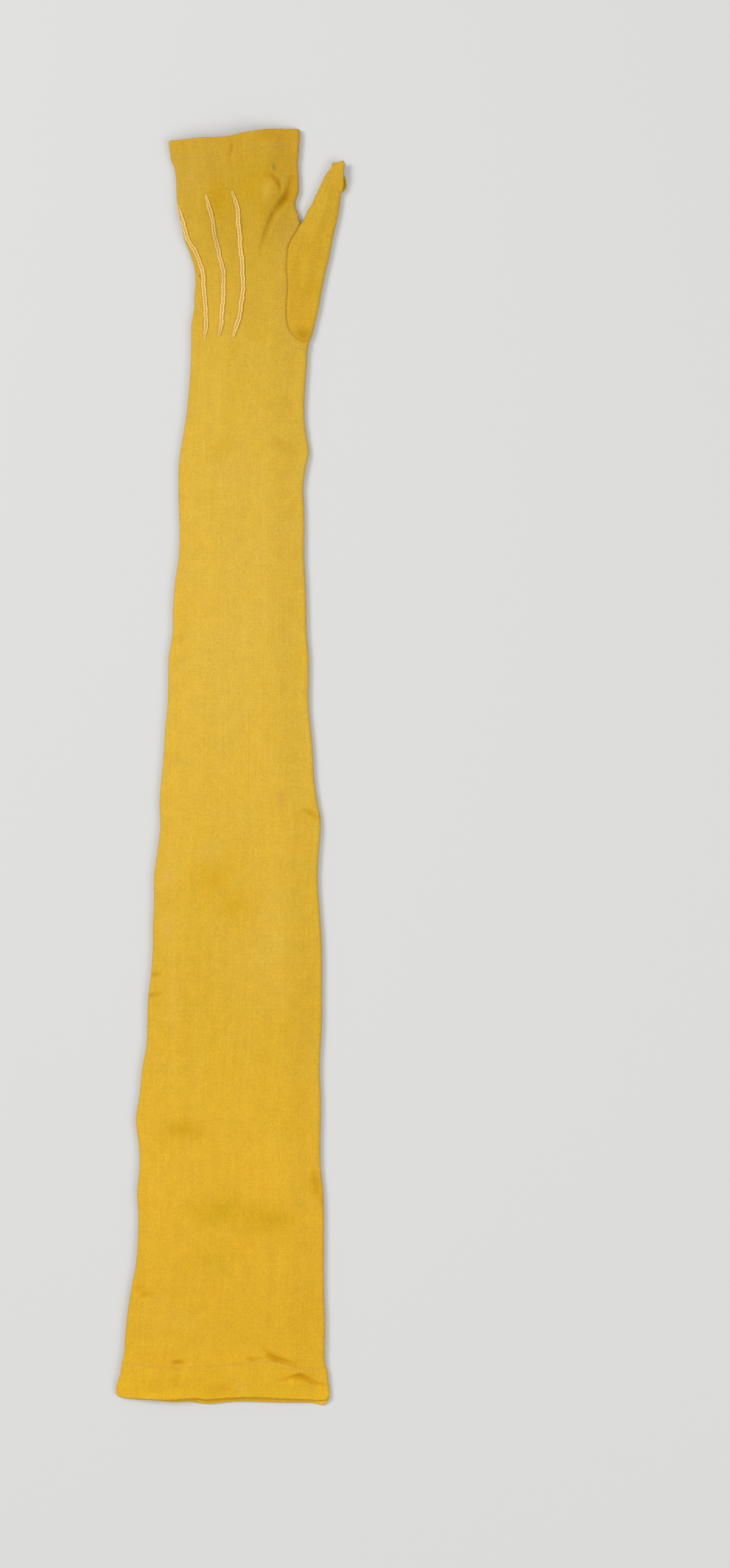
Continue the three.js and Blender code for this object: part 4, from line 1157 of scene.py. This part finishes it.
def make_side_seam():
    """The long seam on the palm: a low ridge, with the thread that closes it."""
    low, high, step = ARM_STATION + 0.5, 103, 1.6
    y = np.arange(low, high, step)
    line = np.column_stack([along(LITTLE_EDGE, y) + seam_inset(y), y])
    _, palm = heights(line)
    path = np.column_stack([line, palm - 0.02])[None]
    points, faces, _ = tubes(path, 0.7, 8, False, flat=0.48)
    cloth = np.column_stack([points[:, :2], np.full(len(points), 3)])
    tint = tint_of(points[:, :2], np.ones(len(points)), CLOTH_TONES, PATCHES)
    piece = build("side_seam_ridge", points, faces, SILK, cloth, tint)
    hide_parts("side_seam")
    route = even(line, np.linspace(0, length_of(line), 600))
    sewn("side_seam_stitches", beads(route, 1.7, 1.5, 0.16, 68, "palm", 0.2, 31))
    return piece


def make_thumb_edge(mouth):
    """The rolled edge round the thumb's mouth, and threads that have worked loose from it."""
    random = np.random.default_rng(41)
    loop = np.vstack([mouth, mouth[:1]])
    total = length_of(loop)
    count = int(total / 0.55)
    path = even(loop, np.arange(count) * total / count)
    for _ in range(2):
        path = (np.roll(path, 1, axis=0) + 2 * path + np.roll(path, -1, axis=0)) / 4
    radii = 0.66 + 0.1 * np.sin(np.arange(count) * 1.9) + random.uniform(-0.06, 0.06, count)
    points, faces, _ = tubes(path[None], radii[None], 8, True)
    cloth = np.column_stack([points[:, :2], np.full(len(points), 5)])
    tint = 1.04 * tint_of(points[:, :2], np.zeros(len(points)), THUMB_TONES, THUMB_PATCHES)
    piece = build("thumb_edge_roll", points, faces, THUMB_SILK, cloth, tint)
    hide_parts("thumb_edge")
    starts = random.choice(count, 6, replace=False)
    shares = np.linspace(0, 1, 12)
    threads = []
    for start in starts:
        away = random.normal(0, 1, 3) * (1, 1, 0.15)
        away /= np.linalg.norm(away)
        curl = random.normal(0, 1, 3) * (1, 1, 0.15)
        long = random.uniform(0.4, 0.9)
        threads.append(path[start] + long * (
            shares[:, None] * away + 0.45 * (shares ** 2)[:, None] * curl))
    points, faces, cloth = tubes(np.array(threads), 0.09, 5, False)
    points[:, 2] += max(0, 0.05 - points[:, 2].min())
    sewn("thumb_loose_threads", (points, faces, cloth),
         left=(0.95, 0.88, 0.6))
    return piece


body = make_body()
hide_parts("hand_and_arm")
thumb, thumb_mouth = make_thumb()
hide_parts("thumb")
band = make_band()
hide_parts("thumb_seam")
finger_hem = hem_ring("finger_hem", FINGER_STITCH, FINGER_EDGE, FINGER_EDGE, 110)
arm_hem = hem_ring("arm_hem", ARM_STITCH, ARM_EDGE_BACK, ARM_EDGE_PALM, -588)
side_seam = make_side_seam()
thumb_edge = make_thumb_edge(thumb_mouth)
for point_name, point_line in POINTS.items():
    chain(point_name, point_line)
make_curls()
make_seam_stitches()
make_hem_stitches()


# Floor, light and camera

def make_floor():
    mesh = bpy.data.meshes.new("floor")
    half = 20.0
    mesh.from_pydata(
        [(-half, -half, 0), (half, -half, 0), (half, half, 0), (-half, half, 0)],
        [], [(0, 1, 2, 3)],
    )
    material, tree, shader = material_base("pale_floor")
    feed(tree, shader, {"Base Color": (0.56, 0.556, 0.545, 1), "Roughness": 0.85})
    mesh.materials.append(material)
    floor = bpy.data.objects.new("floor", mesh)
    floor.location.z = -0.0001
    bpy.context.scene.collection.objects.link(floor)


def soft_light(name, place, size, energy):
    data = bpy.data.lights.new(name, "AREA")
    data.shape = "DISK"
    data.size = size
    data.energy = energy
    light = bpy.data.objects.new(name, data)
    light.location = place
    light.rotation_euler = (-Vector(place)).to_track_quat("-Z", "Y").to_euler()
    bpy.context.scene.collection.objects.link(light)


bpy.context.scene.view_settings.view_transform = "Standard"
make_floor()
soft_light("key_light", (-2.3, 1.3, 2.5), 1.5, 84)
soft_light("fill_light", (2.6, -1.3, 2.5), 2.2, 52)
soft_light("top_light", (0.0, -0.3, 3.4), 2.2, 30)
world = bpy.data.worlds.new("studio")
world.use_nodes = True
background = world.node_tree.nodes["Background"]
feed(world.node_tree, background, {"Color": (0.95, 0.97, 1.0, 1), "Strength": 0.44})
bpy.context.scene.world = world

CAMERA_OVER = (0.0760, -0.0102)  # the point of the ground under the camera
CAMERA_HEIGHT = 2.5
UPPER_SIDE = 0.004  # height of the plane of the mitten's upper side
VIEW_HEIGHT = 0.8866  # length of the picture on that plane
camera_data = bpy.data.cameras.new("camera")
camera_data.sensor_width = 36
camera_data.lens = camera_data.sensor_width * (CAMERA_HEIGHT - UPPER_SIDE) / VIEW_HEIGHT
camera = bpy.data.objects.new("camera", camera_data)
camera.location = (*CAMERA_OVER, CAMERA_HEIGHT)
bpy.context.scene.collection.objects.link(camera)
bpy.context.scene.camera = camera
